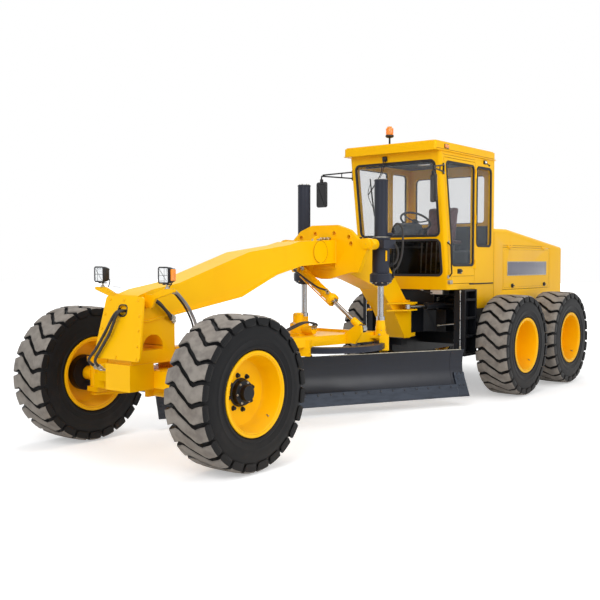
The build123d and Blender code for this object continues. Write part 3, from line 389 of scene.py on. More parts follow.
# columns: what makes the finish, its look
finishLooks = {
    "bodyYellow": (paintFinish, {"colour": rgb(255, 194, 0), "shade": rgb(252, 186, 0), "bare": rgb(150, 110, 60),
        "rough": 0.3, "dust": 0.08, "dustTop": 0.9, "wear": 0.25, "coat": 0.0, "gloss": 0.14}),
    "wheelYellow": (paintFinish, {"colour": rgb(255, 193, 0), "shade": rgb(250, 182, 0), "bare": rgb(160, 120, 70),
        "rough": 0.3, "dust": 0.12, "dustTop": 0.9, "wear": 0.3, "coat": 0.0, "gloss": 0.14}),
    "slateBlue": (paintFinish, {"colour": rgb(42, 45, 57), "shade": rgb(34, 37, 47), "bare": bareSteel, "rough": 0.32,
        "dust": 0.06, "dustTop": 0.9, "wear": 0.3, "coat": 0.0, "gloss": 0.2}),
    "bladeSlate": (paintFinish, {"colour": rgb(15, 20, 34), "shade": rgb(10, 14, 25), "bare": rgb(92, 102, 120),
        "rough": 0.26, "dust": 0.0, "dustTop": 0.3, "wear": 0.35, "coat": 0.0, "scratches": 0.1, "bump": 0.05,
        "gloss": 0.4}),
    "chassisBlack": (paintFinish, {"colour": rgb(16, 18, 23), "shade": rgb(12, 13, 17), "bare": rgb(110, 108, 106),
        "rough": 0.34, "dust": 0.08, "dustTop": 0.9, "wear": 0.3, "coat": 0.0, "gloss": 0.22}),
    "edgeSteel": (metalFinish, {"colour": rgb(44, 50, 60), "shade": rgb(34, 39, 48), "bare": rgb(122, 124, 128),
        "rough": 0.36, "metal": 0.6, "marks": 6.0, "stretch": (1, 1, 6), "rust": 0.12, "wear": 0.4, "round": 0.006}),
    "rodChrome": (metalFinish, {"colour": rgb(160, 160, 160), "shade": rgb(142, 143, 146), "bare": rgb(190, 190, 192),
        "rough": 0.12, "drift": 0.1, "metal": 1.0, "marks": 9.0, "stretch": (4, 4, 1)}),
    "zincBolt": (metalFinish, {"colour": rgb(176, 172, 160), "shade": rgb(140, 132, 112), "bare": rgb(215, 212, 205),
        "rough": 0.32, "metal": 0.95, "marks": 40.0, "rust": 0.1}),
    "castGrey": (metalFinish, {"colour": rgb(92, 94, 96), "shade": rgb(70, 70, 70), "bare": rgb(130, 130, 130),
        "rough": 0.5, "metal": 0.4, "marks": 14.0, "rust": 0.2, "bump": 0.3}),
    "tyreRubber": (grainFinish, {"colour": rgb(14, 15, 17), "shade": rgb(20, 20, 22), "bare": rgb(42, 40, 38),
        "rough": 0.42, "dust": 0.04, "dustTop": 1.2, "grain": 160.0, "wear": 0.3, "gloss": 0.16, "round": 0.008}),
    "treadRubber": (grainFinish, {"colour": rgb(140, 134, 127), "shade": rgb(112, 106, 101), "bare": rgb(72, 68, 64),
        "rough": 0.7, "dust": 0.25, "dustTop": 2.2, "grain": 90.0, "bump": 0.5, "wear": 0.6, "round": 0.01}),
    "sealRubber": (grainFinish, {"colour": rgb(22, 22, 24), "shade": rgb(32, 32, 34), "bare": rgb(52, 52, 54),
        "rough": 0.5, "dust": 0.2, "grain": 240.0}),
    "hoseRubber": (grainFinish, {"colour": rgb(38, 36, 36), "shade": rgb(52, 48, 46), "bare": rgb(84, 80, 76),
        "rough": 0.45, "dust": 0.3, "grain": 200.0}),
    "conduitGrey": (grainFinish, {"colour": rgb(150, 150, 154), "shade": rgb(122, 122, 126),
        "bare": rgb(180, 180, 180), "rough": 0.35, "dust": 0.2, "grain": 120.0}),
    "blackPlastic": (grainFinish, {"colour": rgb(15, 15, 17), "shade": rgb(20, 20, 23), "bare": rgb(48, 48, 50),
        "rough": 0.32, "dust": 0.06, "grain": 420.0, "bump": 0.15}),
    "leverEnamel": (grainFinish, {"colour": rgb(226, 220, 208), "shade": rgb(206, 200, 188),
        "bare": rgb(140, 136, 130), "rough": 0.4, "dust": 0.1, "grain": 200.0}),
    "consolePlastic": (grainFinish, {"colour": rgb(58, 64, 72), "shade": rgb(46, 50, 56), "bare": rgb(90, 94, 98),
        "rough": 0.42, "dust": 0.1, "grain": 380.0}),
    "seatVinyl": (grainFinish, {"colour": rgb(98, 52, 54), "shade": rgb(78, 40, 43), "bare": rgb(130, 84, 84),
        "rough": 0.45, "dust": 0.1, "grain": 260.0, "sheen": 0.2}),
    # near-black lining: a dark board, darkened further as painted shade inside the cab
    "liningBoardPaintedShade": (grainFinish, {"colour": rgb(22, 18, 16), "shade": rgb(17, 14, 13), "bare": rgb(58, 50, 46),
        "rough": 0.8, "dust": 0.1, "grain": 140.0}),
    "windowGlass": (lensFinish, {"colour": rgb(150, 160, 170), "shade": rgb(120, 130, 140), "clear": 0.12,
        "hazeScale": 1.6, "ridges": 0.4, "rough": 0.02, "bump": 0.01, "coat": 0.1}),
    # near-black glass for the lower windscreen: painted shade of the cab behind it
    "lowerGlassPaintedShade": (lensFinish, {"colour": rgb(3, 3, 3), "shade": rgb(2, 2, 2), "clear": 0.6, "hazeScale": 1.6,
        "ridges": 0.4, "rough": 0.05, "bump": 0.01, "coat": 0.0, "gloss": 0.12}),
    "lampLens": (lensFinish, {"colour": rgb(238, 240, 240), "shade": rgb(214, 218, 222), "hazeScale": 8.0,
        "ridges": 22.0, "rough": 0.12, "bump": 0.35, "glow": 0.1, "run": "Y"}),
    "amberLens": (lensFinish, {"colour": rgb(240, 140, 10), "shade": rgb(214, 104, 6), "hazeScale": 20.0,
        "ridges": 40.0, "rough": 0.1, "bump": 0.3, "glow": 0.12}),
    "redLens": (lensFinish, {"colour": rgb(190, 24, 20), "shade": rgb(150, 14, 12), "hazeScale": 20.0, "ridges": 40.0,
        "rough": 0.1, "bump": 0.3, "glow": 0.08}),
    "mirrorSilver": (metalFinish, {"colour": rgb(210, 214, 218), "shade": rgb(200, 204, 208),
        "bare": rgb(160, 160, 160), "rough": 0.02, "drift": 0.03, "metal": 1.0, "marks": 5.0, "bump": 0.01}),
    # thin dark ochre lines and rings over seams, folds and open joints: painted shade in the gaps
    "seamPaintedShade": (paintFinish, {"colour": rgb(170, 112, 6), "shade": rgb(150, 98, 6), "bare": rgb(120, 84, 30),
        "rough": 0.5, "dust": 0.2, "wear": 0.2, "coat": 0.0, "gloss": 0.2}),
    "seamSlate": (paintFinish, {"colour": rgb(36, 39, 50), "shade": rgb(30, 32, 42), "bare": rgb(90, 92, 98),
        "rough": 0.5, "dust": 0.2, "wear": 0.2, "coat": 0.0, "gloss": 0.2}),
    "plateSlate": (paintFinish, {"colour": rgb(104, 104, 118), "shade": rgb(94, 94, 108), "bare": rgb(170, 170, 172),
        "rough": 0.3, "dust": 0.2, "wear": 0.3}),
}
finishes = {name: make(name, look) for name, (make, look) in finishLooks.items()}
print(len(finishes), "finishes made")


# ---- Geometry Nodes trees for what repeats or follows a line
def newGeometryTree(name, inputs):
    tree = bpy.data.node_groups.new(name, "GeometryNodeTree")
    tree.interface.new_socket("Geometry", in_out="INPUT", socket_type="NodeSocketGeometry")
    for label, kind, start in inputs:
        socket = tree.interface.new_socket(label, in_out="INPUT", socket_type="NodeSocket" + kind)
        if start is not None:
            socket.default_value = start
    tree.interface.new_socket("Geometry", in_out="OUTPUT", socket_type="NodeSocketGeometry")
    return tree, tree.nodes.new("NodeGroupInput"), tree.nodes.new("NodeGroupOutput")


def setFinish(tree, geometry, given, result):
    # everything takes the first finish, and faces marked as second take the other
    real = addNode(tree, "GeometryNodeRealizeInstances", {"Geometry": geometry})
    first = addNode(tree, "GeometryNodeSetMaterial",
        {"Geometry": real.outputs[0], "Material": given.outputs["Finish"]})
    marked = addNode(tree, "GeometryNodeInputNamedAttribute", {"Name": "second"}, data_type="BOOLEAN")
    second = addNode(tree, "GeometryNodeSetMaterial", {"Geometry": first.outputs[0],
        "Selection": marked.outputs["Attribute"], "Material": given.outputs["Second Finish"]})
    tree.links.new(second.outputs[0], result.inputs[0])


def makeRingTree():
    tree, given, result = newGeometryTree("ringOfPieces", [("Count", "Int", 8), ("Axis", "Vector", (0, 1, 0)),
        ("Start Turn", "Float", 0.0), ("Finish", "Material", None), ("Second Finish", "Material", None)])
    spots = addNode(tree, "GeometryNodeMeshLine", {"Count": given.outputs["Count"], "Offset": (0, 0, 0)})
    step = mathOf(tree, "DIVIDE", math.tau, given.outputs["Count"])
    angle = mathOf(tree, "MULTIPLY", addNode(tree, "GeometryNodeInputIndex").outputs[0], step)
    angle = mathOf(tree, "ADD", angle, given.outputs["Start Turn"])
    turn = addNode(tree, "FunctionNodeAxisAngleToRotation", {"Axis": given.outputs["Axis"], "Angle": angle})
    copies = addNode(tree, "GeometryNodeInstanceOnPoints", {"Points": spots.outputs[0],
        "Instance": given.outputs["Geometry"], "Rotation": turn.outputs[0]})
    setFinish(tree, copies.outputs[0], given, result)
    return tree


def makeRowTree():
    tree, given, result = newGeometryTree("rowOfPieces", [("Count", "Int", 8), ("First", "Vector", (0, 0, 0)),
        ("Step", "Vector", (0.1, 0, 0)), ("Finish", "Material", None), ("Second Finish", "Material", None)])
    spots = addNode(tree, "GeometryNodeMeshLine", {"Count": given.outputs["Count"],
        "Start Location": given.outputs["First"], "Offset": given.outputs["Step"]})
    copies = addNode(tree, "GeometryNodeInstanceOnPoints",
        {"Points": spots.outputs[0], "Instance": given.outputs["Geometry"]})
    setFinish(tree, copies.outputs[0], given, result)
    return tree


def makeHoseTree():
    # a round tube that follows the smooth line through the given points
    tree, given, result = newGeometryTree("hoseAlongLine", [("Radius", "Float", 0.01), ("Sides", "Int", 12),
        ("Steps", "Int", 24), ("Finish", "Material", None), ("Second Finish", "Material", None)])
    line = addNode(tree, "GeometryNodeMeshToCurve", {"Mesh": given.outputs["Geometry"]})
    smooth = addNode(tree, "GeometryNodeCurveSplineType", {"Curve": line.outputs[0]}, spline_type="CATMULL_ROM")
    even = addNode(tree, "GeometryNodeSetSplineResolution",
        {"Geometry": smooth.outputs[0], "Resolution": given.outputs["Steps"]})
    ring = addNode(tree, "GeometryNodeCurvePrimitiveCircle", {"Radius": given.outputs["Radius"],
        "Resolution": given.outputs["Sides"]})
    tube = addNode(tree, "GeometryNodeCurveToMesh", {"Curve": even.outputs[0], "Profile Curve": ring.outputs[0],
        "Fill Caps": True})
    setFinish(tree, tube.outputs[0], given, result)
    return tree


repeatTrees = {"ring": makeRingTree(), "row": makeRowTree(), "hose": makeHoseTree()}


def grow(mesh, kind, values):
    # runs one of the trees on a mesh and gives back a plain mesh
    holder = bpy.data.objects.new("holder", mesh)
    scene.collection.objects.link(holder)
    modifier = holder.modifiers.new("repeat", "NODES")
    modifier.node_group = repeatTrees[kind]
    for item in modifier.node_group.interface.items_tree:
        if item.in_out == "INPUT" and item.name in values:
            modifier[item.identifier] = values[item.name]
    holder.update_tag()
    ready = holder.evaluated_get(bpy.context.evaluated_depsgraph_get())
    plain = bpy.data.meshes.new_from_object(ready)
    bpy.data.objects.remove(holder)
    return plain


# ---- shapes
def roundedOutline(corners, radius, steps=5):
    # points of a polygon with rounded corners, with the direction that leads out of it at each
    area = sum(a[0] * b[1] - b[0] * a[1] for a, b in zip(corners, corners[1:] + corners[:1]))
    if area < 0:
        corners = corners[::-1]
    points = []
    for number, corner in enumerate(corners):
        here = Vector(corner)
        before = (Vector(corners[number - 1]) - here).normalized()
        after = (Vector(corners[(number + 1) % len(corners)]) - here).normalized()
        half = before.angle(after) / 2
        middle = here + (before + after).normalized() * radius / math.sin(half)
        start = Vector((before.y, -before.x)) * -1
        start = here + before * radius / math.tan(half) - middle
        end = here + after * radius / math.tan(half) - middle
        sweep = start.angle(end)
        first = math.atan2(start.y, start.x)
        for step in range(steps + 1):
            angle = first + sweep * step / steps
            out = Vector((math.cos(angle), math.sin(angle)))
            points.append((middle + out * radius, out))
    return points


def smoothMesh(mesh, angle=35):
    mesh.shade_smooth()
    mesh.set_sharp_from_angle(angle=math.radians(angle))


class Piece:
    # one mesh that rides on one body, put together from simple worked shapes
    def __init__(self, name, body, finish, slot=None):
        self.name, self.body, self.slot = name, body, slot
        self.bm = bmesh.new()
        self.finishNames = [finish]

    def number(self, finish):
        if finish is None:
            return 0
        if finish not in self.finishNames:
            self.finishNames.append(finish)
        return self.finishNames.index(finish)

    def take(self, mesh, place=None, finish=None):
        # adds a ready mesh, whose own finishes are kept unless one is given
        known = len(self.bm.faces)
        knownPoints = len(self.bm.verts)
        names = [m.name if m else None for m in mesh.materials]
        self.bm.from_mesh(mesh)
        self.bm.faces.ensure_lookup_table()
        self.bm.verts.ensure_lookup_table()
        fresh = self.bm.faces[known:]
        if place is not None:
            bmesh.ops.transform(self.bm, matrix=place, verts=self.bm.verts[knownPoints:])
            if place.determinant() < 0:
                bmesh.ops.reverse_faces(self.bm, faces=fresh)
        for face in fresh:
            own = finish or (names[face.material_index] if names else None)
            face.material_index = self.number(own)
        bpy.data.meshes.remove(mesh)

    def add(self, part, finish=None, place=None):
        # adds a closed bmesh
        bmesh.ops.recalc_face_normals(part, faces=part.faces)
        mesh = bpy.data.meshes.new("part")
        part.to_mesh(mesh)
        part.free()
        self.take(mesh, place, finish if finish else self.finishNames[0])

    def box(self, low, high, round_=0.004, finish=None, place=None, segments=2):
        self.add(boxShape(low, high, round_, segments), finish, place)

    def rod(self, start, end, radius, finish=None, sides=24, round_=0.002, radiusEnd=None, place=None):
        length = (Vector(end) - Vector(start)).length
        last = radius if radiusEnd is None else radiusEnd
        round_ = min(round_, radius * 0.4, length * 0.3)
        profile = [(0, 0), (radius - round_, 0), (radius, round_), (last, length - round_), (last - round_, length),
                   (0, length)]
        self.lathe(start, Vector(end) - Vector(start), profile, finish, sides, place)

    def lathe(self, start, axis, profile, finish=None, sides=32, place=None):
        # profile columns: radius, distance along the axis
        turn = Vector(axis).to_track_quat("Z", "Y").to_matrix().to_4x4()
        where = Matrix.Translation(start) @ turn
        self.add(latheShape(profile, sides), finish, where if place is None else place @ where)

    def seal(self, corners, radius, section, where, finish=None, steps=5):
        self.add(sealShape(corners, radius, section, steps), finish, where)

    def hose(self, points, radius, finish="hoseRubber", sides=12, steps=10, place=None):
        line = bpy.data.meshes.new("line")
        line.from_pydata([tuple(p) for p in points], [(n, n + 1) for n in range(len(points) - 1)], [])
        self.take(grow(line, "hose", {"Radius": radius, "Sides": sides, "Steps": steps, "Finish": finishes[finish],
            "Second Finish": finishes[finish]}), place)

    def ring(self, mesh, count, centre, axis=(0, 1, 0), startTurn=0.0, finish=None, second=None, place=None):
        own = finishes[finish or self.finishNames[0]]
        made = grow(mesh, "ring", {"Count": count, "Axis": axis, "Start Turn": startTurn, "Finish": own,
            "Second Finish": finishes[second] if second else own})
        where = Matrix.Translation(centre)
        self.take(made, where if place is None else place @ where)

    def row(self, mesh, count, first, step, finish=None, place=None):
        own = finishes[finish or self.finishNames[0]]
        self.take(grow(mesh, "row", {"Count": count, "First": first, "Step": step, "Finish": own,
            "Second Finish": own}), place)

    def close(self, replaces=(), angle=35):
        mesh = bpy.data.meshes.new(self.name)
        self.bm.to_mesh(mesh)
        self.bm.free()
        for finish in self.finishNames:
            mesh.materials.append(finishes[finish])
        smoothMesh(mesh, angle)
        made = bpy.data.objects.new(self.name, mesh)
        scene.collection.objects.link(made)
        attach(made, self.body)
        if replaces:
            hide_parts(*replaces)
        return made


def boxShape(low, high, round_=0.004, segments=2):
    bm = bmesh.new()
    low, high = Vector(low), Vector(high)
    bmesh.ops.create_cube(bm, size=1)
    size = Vector([abs(a) for a in high - low])
    bmesh.ops.transform(bm, matrix=Matrix.Translation((low + high) / 2) @ Matrix.Diagonal((*size, 1)), verts=bm.verts)
    width = min(round_, min(size) * 0.35)
    if width > 0:
        bmesh.ops.bevel(bm, geom=bm.edges[:], offset=width, segments=segments, affect="EDGES", profile=0.5)
    return bm


def latheShape(profile, sides):
    bm = bmesh.new()
    rings = []
    for radius, height in profile:
        if radius < 1e-6:
            rings.append([bm.verts.new((0, 0, height))])
        else:
            rings.append([bm.verts.new((radius * math.cos(math.tau * n / sides),
                radius * math.sin(math.tau * n / sides), height)) for n in range(sides)])
    for first, second in zip(rings, rings[1:]):
        joinRings(bm, first, second)
    if len(rings[0]) > 1 and len(rings[-1]) > 1:
        joinRings(bm, rings[-1], rings[0])
    return bm


def joinRings(bm, first, second):
    count = max(len(first), len(second))
    for n in range(count):
        after = (n + 1) % count
        if len(first) == 1 and len(second) == 1:
            continue
        if len(first) == 1:
            bm.faces.new((first[0], second[after], second[n]))
        elif len(second) == 1:
            bm.faces.new((first[n], first[after], second[0]))
        else:
            bm.faces.new((first[n], first[after], second[after], second[n]))


def sealShape(corners, radius, section, steps=5):
    # a strip round an opening on the plane z = 0, section columns: distance out of the outline, height
    outline = roundedOutline(corners, radius, steps)
    bm = bmesh.new()
    rings = [[bm.verts.new((*(point + out * shift), height)) for point, out in outline] for shift, height in section]
    for first, second in zip(rings, rings[1:] + rings[:1]):
        joinRings(bm, first, second)
    return bm


def planeAt(origin, across, up):
    # a place whose x runs across, y runs up and z leaves the surface
    across, up = Vector(across).normalized(), Vector(up).normalized()
    out = across.cross(up)
    turn = Matrix((across, up, out)).transposed().to_4x4()
    return Matrix.Translation(origin) @ turn


def boltMesh(radius=0.012, head=0.009, washer=0.003):
    # hexagon head on its washer, along +Z
    bm = bmesh.new()
    for sides, wide, low, high in ((12, radius * 1.35, 0, washer), (6, radius, washer, washer + head)):
        slope = (high - low) * 0.25
        rings = [[bm.verts.new((r * math.cos(math.tau * n / sides), r * math.sin(math.tau * n / sides), z))
                  for n in range(sides)] for r, z in ((wide, low), (wide, high - slope), (wide * 0.88, high))]
        for first, second in zip(rings, rings[1:]):
            joinRings(bm, first, second)
        bm.faces.new(rings[0][::-1])
        bm.faces.new(rings[-1])
    bmesh.ops.recalc_face_normals(bm, faces=bm.faces)
    mesh = bpy.data.meshes.new("bolt")
    bm.to_mesh(mesh)
    bm.free()
    return mesh


def turnedMesh(mesh, place):
    mesh.transform(place)
    return mesh


otherSide = Matrix.Scale(-1, 4, (0, 1, 0))
leftRight = (("left", 1, Matrix.Identity(4)), ("right", -1, otherSide))


# ---- CAD nodes that keep their shape: merged, with real rounded edges
windscreenRise = {"rise": 0.07, "slant": 0.14773}
# the lower windscreen lies ahead of this place and below this height; its glass is drawn near black as painted shade
# of the dark cab behind it
lowerPane = {"from": -0.7, "top": 2.1}
# points nearer than this join, in metres, and faces that turn less than this do too, in degrees
cadMend = {"merge": 2e-5, "flat": 0.6}


def raisedOpening(bm):
    # lifts the upper windscreen's top edge along the sloping front
    for v in bm.verts:
        if v.co.x > -0.5 and abs(v.co.y) < 0.615 and 2.93 < v.co.z < 3.02:
            v.co.z += windscreenRise["rise"]
            v.co.x += windscreenRise["rise"] * windscreenRise["slant"]


def roundedCopy(node, finish, width=0.004, segments=2, angle=30, name=None):
    bm = bmesh.new()
    bm.from_mesh(nodes[node].data)
    if node in ("cab_shell", "cab_glass"):
        raisedOpening(bm)
    bmesh.ops.remove_doubles(bm, verts=bm.verts, dist=cadMend["merge"])
    bmesh.ops.dissolve_limit(bm, angle_limit=math.radians(cadMend["flat"]), verts=bm.verts, edges=bm.edges)
    mesh = bpy.data.meshes.new(node)
    bm.to_mesh(mesh)
    bm.free()
    mesh.materials.clear()
    mesh.materials.append(finishes[finish])
    if node == "cab_glass":
        # the lower windscreen takes near-black glass, painted shade of the dark cab behind it
        mesh.materials.append(finishes["lowerGlassPaintedShade"])
        for face in mesh.polygons:
            face.material_index = int(face.center.x > lowerPane["from"] and face.center.z < lowerPane["top"])
    smoothMesh(mesh, angle)
    made = bpy.data.objects.new(name or "worked_" + node, mesh)
    scene.collection.objects.link(made)
    if width > 0:
        edge = made.modifiers.new("edges", "BEVEL")
        edge.width, edge.segments, edge.limit_method = width, segments, "ANGLE"
        edge.angle_limit = math.radians(angle)
        edge.use_clamp_overlap, edge.harden_normals = True, True
        edge.miter_outer = "MITER_ARC"
        ready = made.evaluated_get(bpy.context.evaluated_depsgraph_get())
        plain = bpy.data.meshes.new_from_object(ready)
        made.modifiers.clear()
        made.data = plain
    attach(made, frame["record"] and bodyOfNode[node])
    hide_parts(node)
    return made


bodyOfNode = {member: body for body, members in frame["record"]["behaviour"]["bodies"].items() for member in members}

# columns: nodes, finish, record slot, edge width
workedNodes = [
    (("gooseneck", "front_cover_plate", "lift_saddle"), "bodyYellow", "yellow_paint", 0.005),
    (("front_axle_beam", "lean_carrier_left", "lean_carrier_right", "knuckle_left", "knuckle_right"), "bodyYellow",
     "yellow_paint", 0.004),
    (("drawbar",), "bodyYellow", "yellow_paint", 0.005),
    (("hood", "hood_door_left", "hood_door_right"), "bodyYellow", "yellow_paint", 0.003),
    (("cab_shell", "cab_roof", "cab_door_left", "cab_door_right"), "bodyYellow", "yellow_paint", 0.003),
    (("shift_barrel",), "bodyYellow", "yellow_paint", 0.003),
    (("circle", "blade_carrier", "tilt_barrel", "lift_barrel_left", "lift_barrel_right"),
     "slateBlue", "blade_paint", 0.004),
    (("moldboard",), "bladeSlate", "blade_paint", 0.003),
    (("cutting_edge",), "edgeSteel", "edge_steel", 0.003),
    (("rear_frame", "tandem_axle", "steps_and_rails", "turn_barrel_left", "turn_barrel_right", "drawbar_swivel",
      "shift_pin", "radiator_grille"), "chassisBlack", "black_paint", 0.004),
    (("lift_rod_left", "lift_rod_right", "tilt_rod", "turn_rod_left", "turn_rod_right", "shift_rod",
      "steering_rod"), "rodChrome", "rod_chrome", 0.002),
]
for members, finish, slotName, width in workedNodes:
    for member in members:
        roundedCopy(member, finish, width)
roundedCopy("cab_glass", "windowGlass", 0.0)
for member in ("door_glass_left", "door_glass_right"):
    nodes[member].data.materials.clear()
    nodes[member].data.materials.append(finishes["windowGlass"])
for member, finish in (("engine_block", "castGrey"), ("steering_console", "consolePlastic"), ("seat", "seatVinyl"),
        ("mirrors", "blackPlastic"), ("headlamps", "blackPlastic"), ("beacon_and_lamp", "blackPlastic")):
    nodes[member].data.materials.clear()
    nodes[member].data.materials.append(finishes[finish])
print("CAD nodes worked")


# ---- tyres and rims
tyre = {"radius": 0.674, "halfWidth": 0.2225, "base": 0.64, "lugs": 24, "lugShare": 0.76, "flank": 0.6,
        "edgeBreak": 0.007}
# one lug's middle line, columns: share of the half width, steps of pitch round the tyre
lugLine = [(-1.0, 0.3), (-0.78, 0.38), (-0.6, 0.47), (-0.42, 0.4), (-0.2, 0.16), (0.0, 0.0), (0.2, -0.16),
           (0.42, -0.4), (0.6, -0.47), (0.78, -0.38), (1.0, -0.3)]


def lugMesh():
    # a band across the tread that kinks twice and runs down both shoulders
    bm = bmesh.new()
    pitch = math.tau / tyre["lugs"]
    crown = tyre["halfWidth"] - 0.022
    stations = [(-tyre["halfWidth"], tyre["flank"] + 0.004, tyre["flank"] - 0.016, 0.3, 0.85)]
    stations += [(-tyre["halfWidth"] + 0.003, 0.652, 0.612, 0.3, 1.0)]
    for share, turn in lugLine:
        fall = 0.007 * abs(share) ** 3
        stations.append((share * crown, tyre["radius"] - fall, tyre["base"] - 0.006 - fall, turn, 1.0))
    stations += [(tyre["halfWidth"] - 0.003, 0.652, 0.612, -0.3, 1.0)]
    stations += [(tyre["halfWidth"], tyre["flank"] + 0.004, tyre["flank"] - 0.016, -0.3, 0.85)]
    rows = []
    for y, top, low, turn, share in stations:
        middle, half = turn * pitch, tyre["lugShare"] * pitch / 2 * share
        drop = tyre["edgeBreak"]
        section = [(-half - 0.014, low), (-half, top - drop), (-half + drop, top), (0, top), (half - drop, top),
                   (half, top - drop), (half + 0.014, low)]
        rows.append([bm.verts.new((r * math.cos(middle + a), y, r * math.sin(middle + a))) for a, r in section])
    marked = []
    for number, (first, second) in enumerate(zip(rows, rows[1:])):
        for n in range(6):
            face = bm.faces.new((first[n], first[n + 1], second[n + 1], second[n]))
            if n in (1, 2, 3, 4) and 1 <= number < len(rows) - 2:
                marked.append(face)
        bm.faces.new((first[6], first[0], second[0], second[6]))
    bm.faces.new(rows[0][::-1])
    bm.faces.new(rows[-1])
    bmesh.ops.recalc_face_normals(bm, faces=bm.faces)
    bm.faces.index_update()
    wanted = {face.index for face in marked}
    mesh = bpy.data.meshes.new("lug")
    bm.to_mesh(mesh)
    bm.free()
    flags = mesh.attributes.new("second", "BOOLEAN", "FACE")
    flags.data.foreach_set("value", [n in wanted for n in range(len(mesh.polygons))])
    return mesh


def tyreProfile():
    # outside of the carcass from the inner bead to the outer one, columns: radius, across
    half = tyre["halfWidth"]
    side = [(0.342, 0.188), (0.372, 0.1935), (0.378, 0.2), (0.386, 0.2135), (0.397, 0.2185), (0.408, 0.2165),
        (0.414, 0.2105), (0.43, 0.2135), (0.462, half - 0.004), (0.468, half - 0.0015), (0.474, half - 0.004),
        (0.505, half - 0.001), (0.54, half - 0.001), (0.572, half - 0.006), (0.6, half - 0.014),
        (0.622, half - 0.026), (0.634, half - 0.045), (0.6395, half - 0.075)]
    crown = [(0.6405, 0.07), (0.641, 0.0), (0.6405, -0.07)]
    return side + crown + [(radius, -y) for radius, y in reversed(side)]


def makeTyres():
    for name in wheelNames:
        low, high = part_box("rim_" + name)
        centre = (low + high) / 2
        side = 1 if centre.y > 0 else -1
        piece = Piece("rubber_" + name, "wheel_" + name, "tyreRubber", "tyre_rubber")
        middle = Vector((centre.x, side * 1.0775, tyre["radius"]))
        # the right wheels are the same tyre turned about, so the tread runs the same way
        place = Matrix.Translation(middle) @ Matrix.Rotation(0 if side > 0 else math.pi, 4, "Z")
        piece.lathe((0, 0, 0), (0, 1, 0), [(r, y) for r, y in tyreProfile()], sides=120, place=place)
        turn = {"front_left": 0.05, "front_right": 0.1, "tandem_front_left": 0.0}.get(name, 0.16)
        piece.ring(lugMesh(), tyre["lugs"], (0, 0, 0), (0, 1, 0), turn, "tyreRubber", "treadRubber", place)
        piece.close(["tyre_" + name])


wheelNames = ["front_left", "front_right", "tandem_front_left", "tandem_front_right", "tandem_rear_left",
              "tandem_rear_right"]
makeTyres()
print("tyres made")

# lathe sections seen from outboard, columns: radius, across
outerLip = [(0.3405, 0.186), (0.35, 0.1905), (0.362, 0.193), (0.3695, 0.198), (0.371, 0.205), (0.3675, 0.2115),
    (0.36, 0.213), (0.352, 0.2125), (0.3455, 0.2095), (0.344, 0.2055), (0.3415, 0.2045), (0.338, 0.2075),
    (0.334, 0.2085), (0.3295, 0.205), (0.327, 0.198), (0.3255, 0.185)]
innerLip = [(radius, -across) for radius, across in reversed(outerLip)]
frontBowl = [(0.319, 0.14), (0.3, 0.062), (0.292, 0.037), (0.283, 0.0245), (0.27, 0.02), (0.0, 0.02)]
frontBack = [(0.0, 0.0), (0.288, 0.0), (0.303, -0.012), (0.313, -0.05), (0.3245, -0.185)]
rearBowl = [(0.323, 0.12), (0.316, 0.0), (0.309, -0.06), (0.301, -0.083), (0.288, -0.093), (0.27, -0.095),
    (0.215, -0.095), (0.208, -0.0885), (0.2, -0.0865), (0.0, -0.0865)]
rearBack = [(0.0, -0.115), (0.3, -0.115), (0.313, -0.125), (0.3245, -0.185)]
hub = {"plate": 0.124, "nutCircle": 0.152, "nuts": 8, "drum": 0.178}


def makeRims():
    for name in wheelNames:
        low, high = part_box("rim_" + name)
        centre = (low + high) / 2
        side = 1 if centre.y > 0 else -1
        place = Matrix.Translation((centre.x, side * 1.0775, tyre["radius"])) @ (otherSide if side < 0
            else Matrix.Identity(4))
        piece = Piece("wheel_" + name, "wheel_" + name, "wheelYellow", "wheel_yellow")
        front = name.startswith("front")
        middle = (frontBowl + frontBack) if front else (rearBowl + rearBack)
        profile = outerLip + middle + innerLip
        piece.lathe((0, 0, 0), (0, 1, 0), profile, sides=96, place=place)
        facing = Matrix.Rotation(-math.pi / 2, 4, "X")
        if front:
            nut = turnedMesh(boltMesh(0.017, 0.02, 0.006), Matrix.Translation((hub["nutCircle"], 0.0195, 0)) @ facing)
            piece.ring(nut, hub["nuts"], (0, 0, 0), (0, 1, 0), 0.2, "chassisBlack", None, place)
            piece.lathe((0, 0, 0), (0, 1, 0), [(0, 0.018), (hub["plate"], 0.018), (hub["plate"], 0.03),
                (hub["plate"] - 0.006, 0.035), (0.113, 0.036), (0.112, 0.066), (0.106, 0.078), (0.082, 0.081),
                (0.071, 0.084), (0.07, 0.121), (0.066, 0.129), (0.03, 0.131), (0, 0.131)], "chassisBlack", 48, place)
            capBolt = turnedMesh(boltMesh(0.008, 0.007, 0.002), Matrix.Translation((0.092, 0.0795, 0)) @ facing)
            piece.ring(capBolt, 6, (0, 0, 0), (0, 1, 0), 0.1, "zincBolt", None, place)
            piece.lathe((0, 0, 0), (0, 1, 0), [(0.076, 0.002), (hub["drum"], 0.002), (hub["drum"], -0.078),
                (hub["drum"] - 0.008, -0.088), (0.12, -0.09), (0.11, -0.096), (0.076, -0.096)], "chassisBlack", 48,
                place)
        else:
            bolt = turnedMesh(boltMesh(0.013, 0.012, 0.003), Matrix.Translation((0.24, -0.0955, 0)) @ facing)
            piece.ring(bolt, 12, (0, 0, 0), (0, 1, 0), 0.1, "wheelYellow", None, place)
        valve = place @ Matrix.Rotation(2.4, 4, "Y")
        piece.add(latheShape([(0, 0), (0.006, 0), (0.005, 0.02), (0.007, 0.021), (0.007, 0.034), (0, 0.036)], 10),
            "zincBolt", valve @ Matrix.Translation((0.318, 0.12, 0)) @ Matrix.Rotation(-1.2, 4, "X"))
        piece.close(["rim_" + name])


makeRims()
print("rims made")


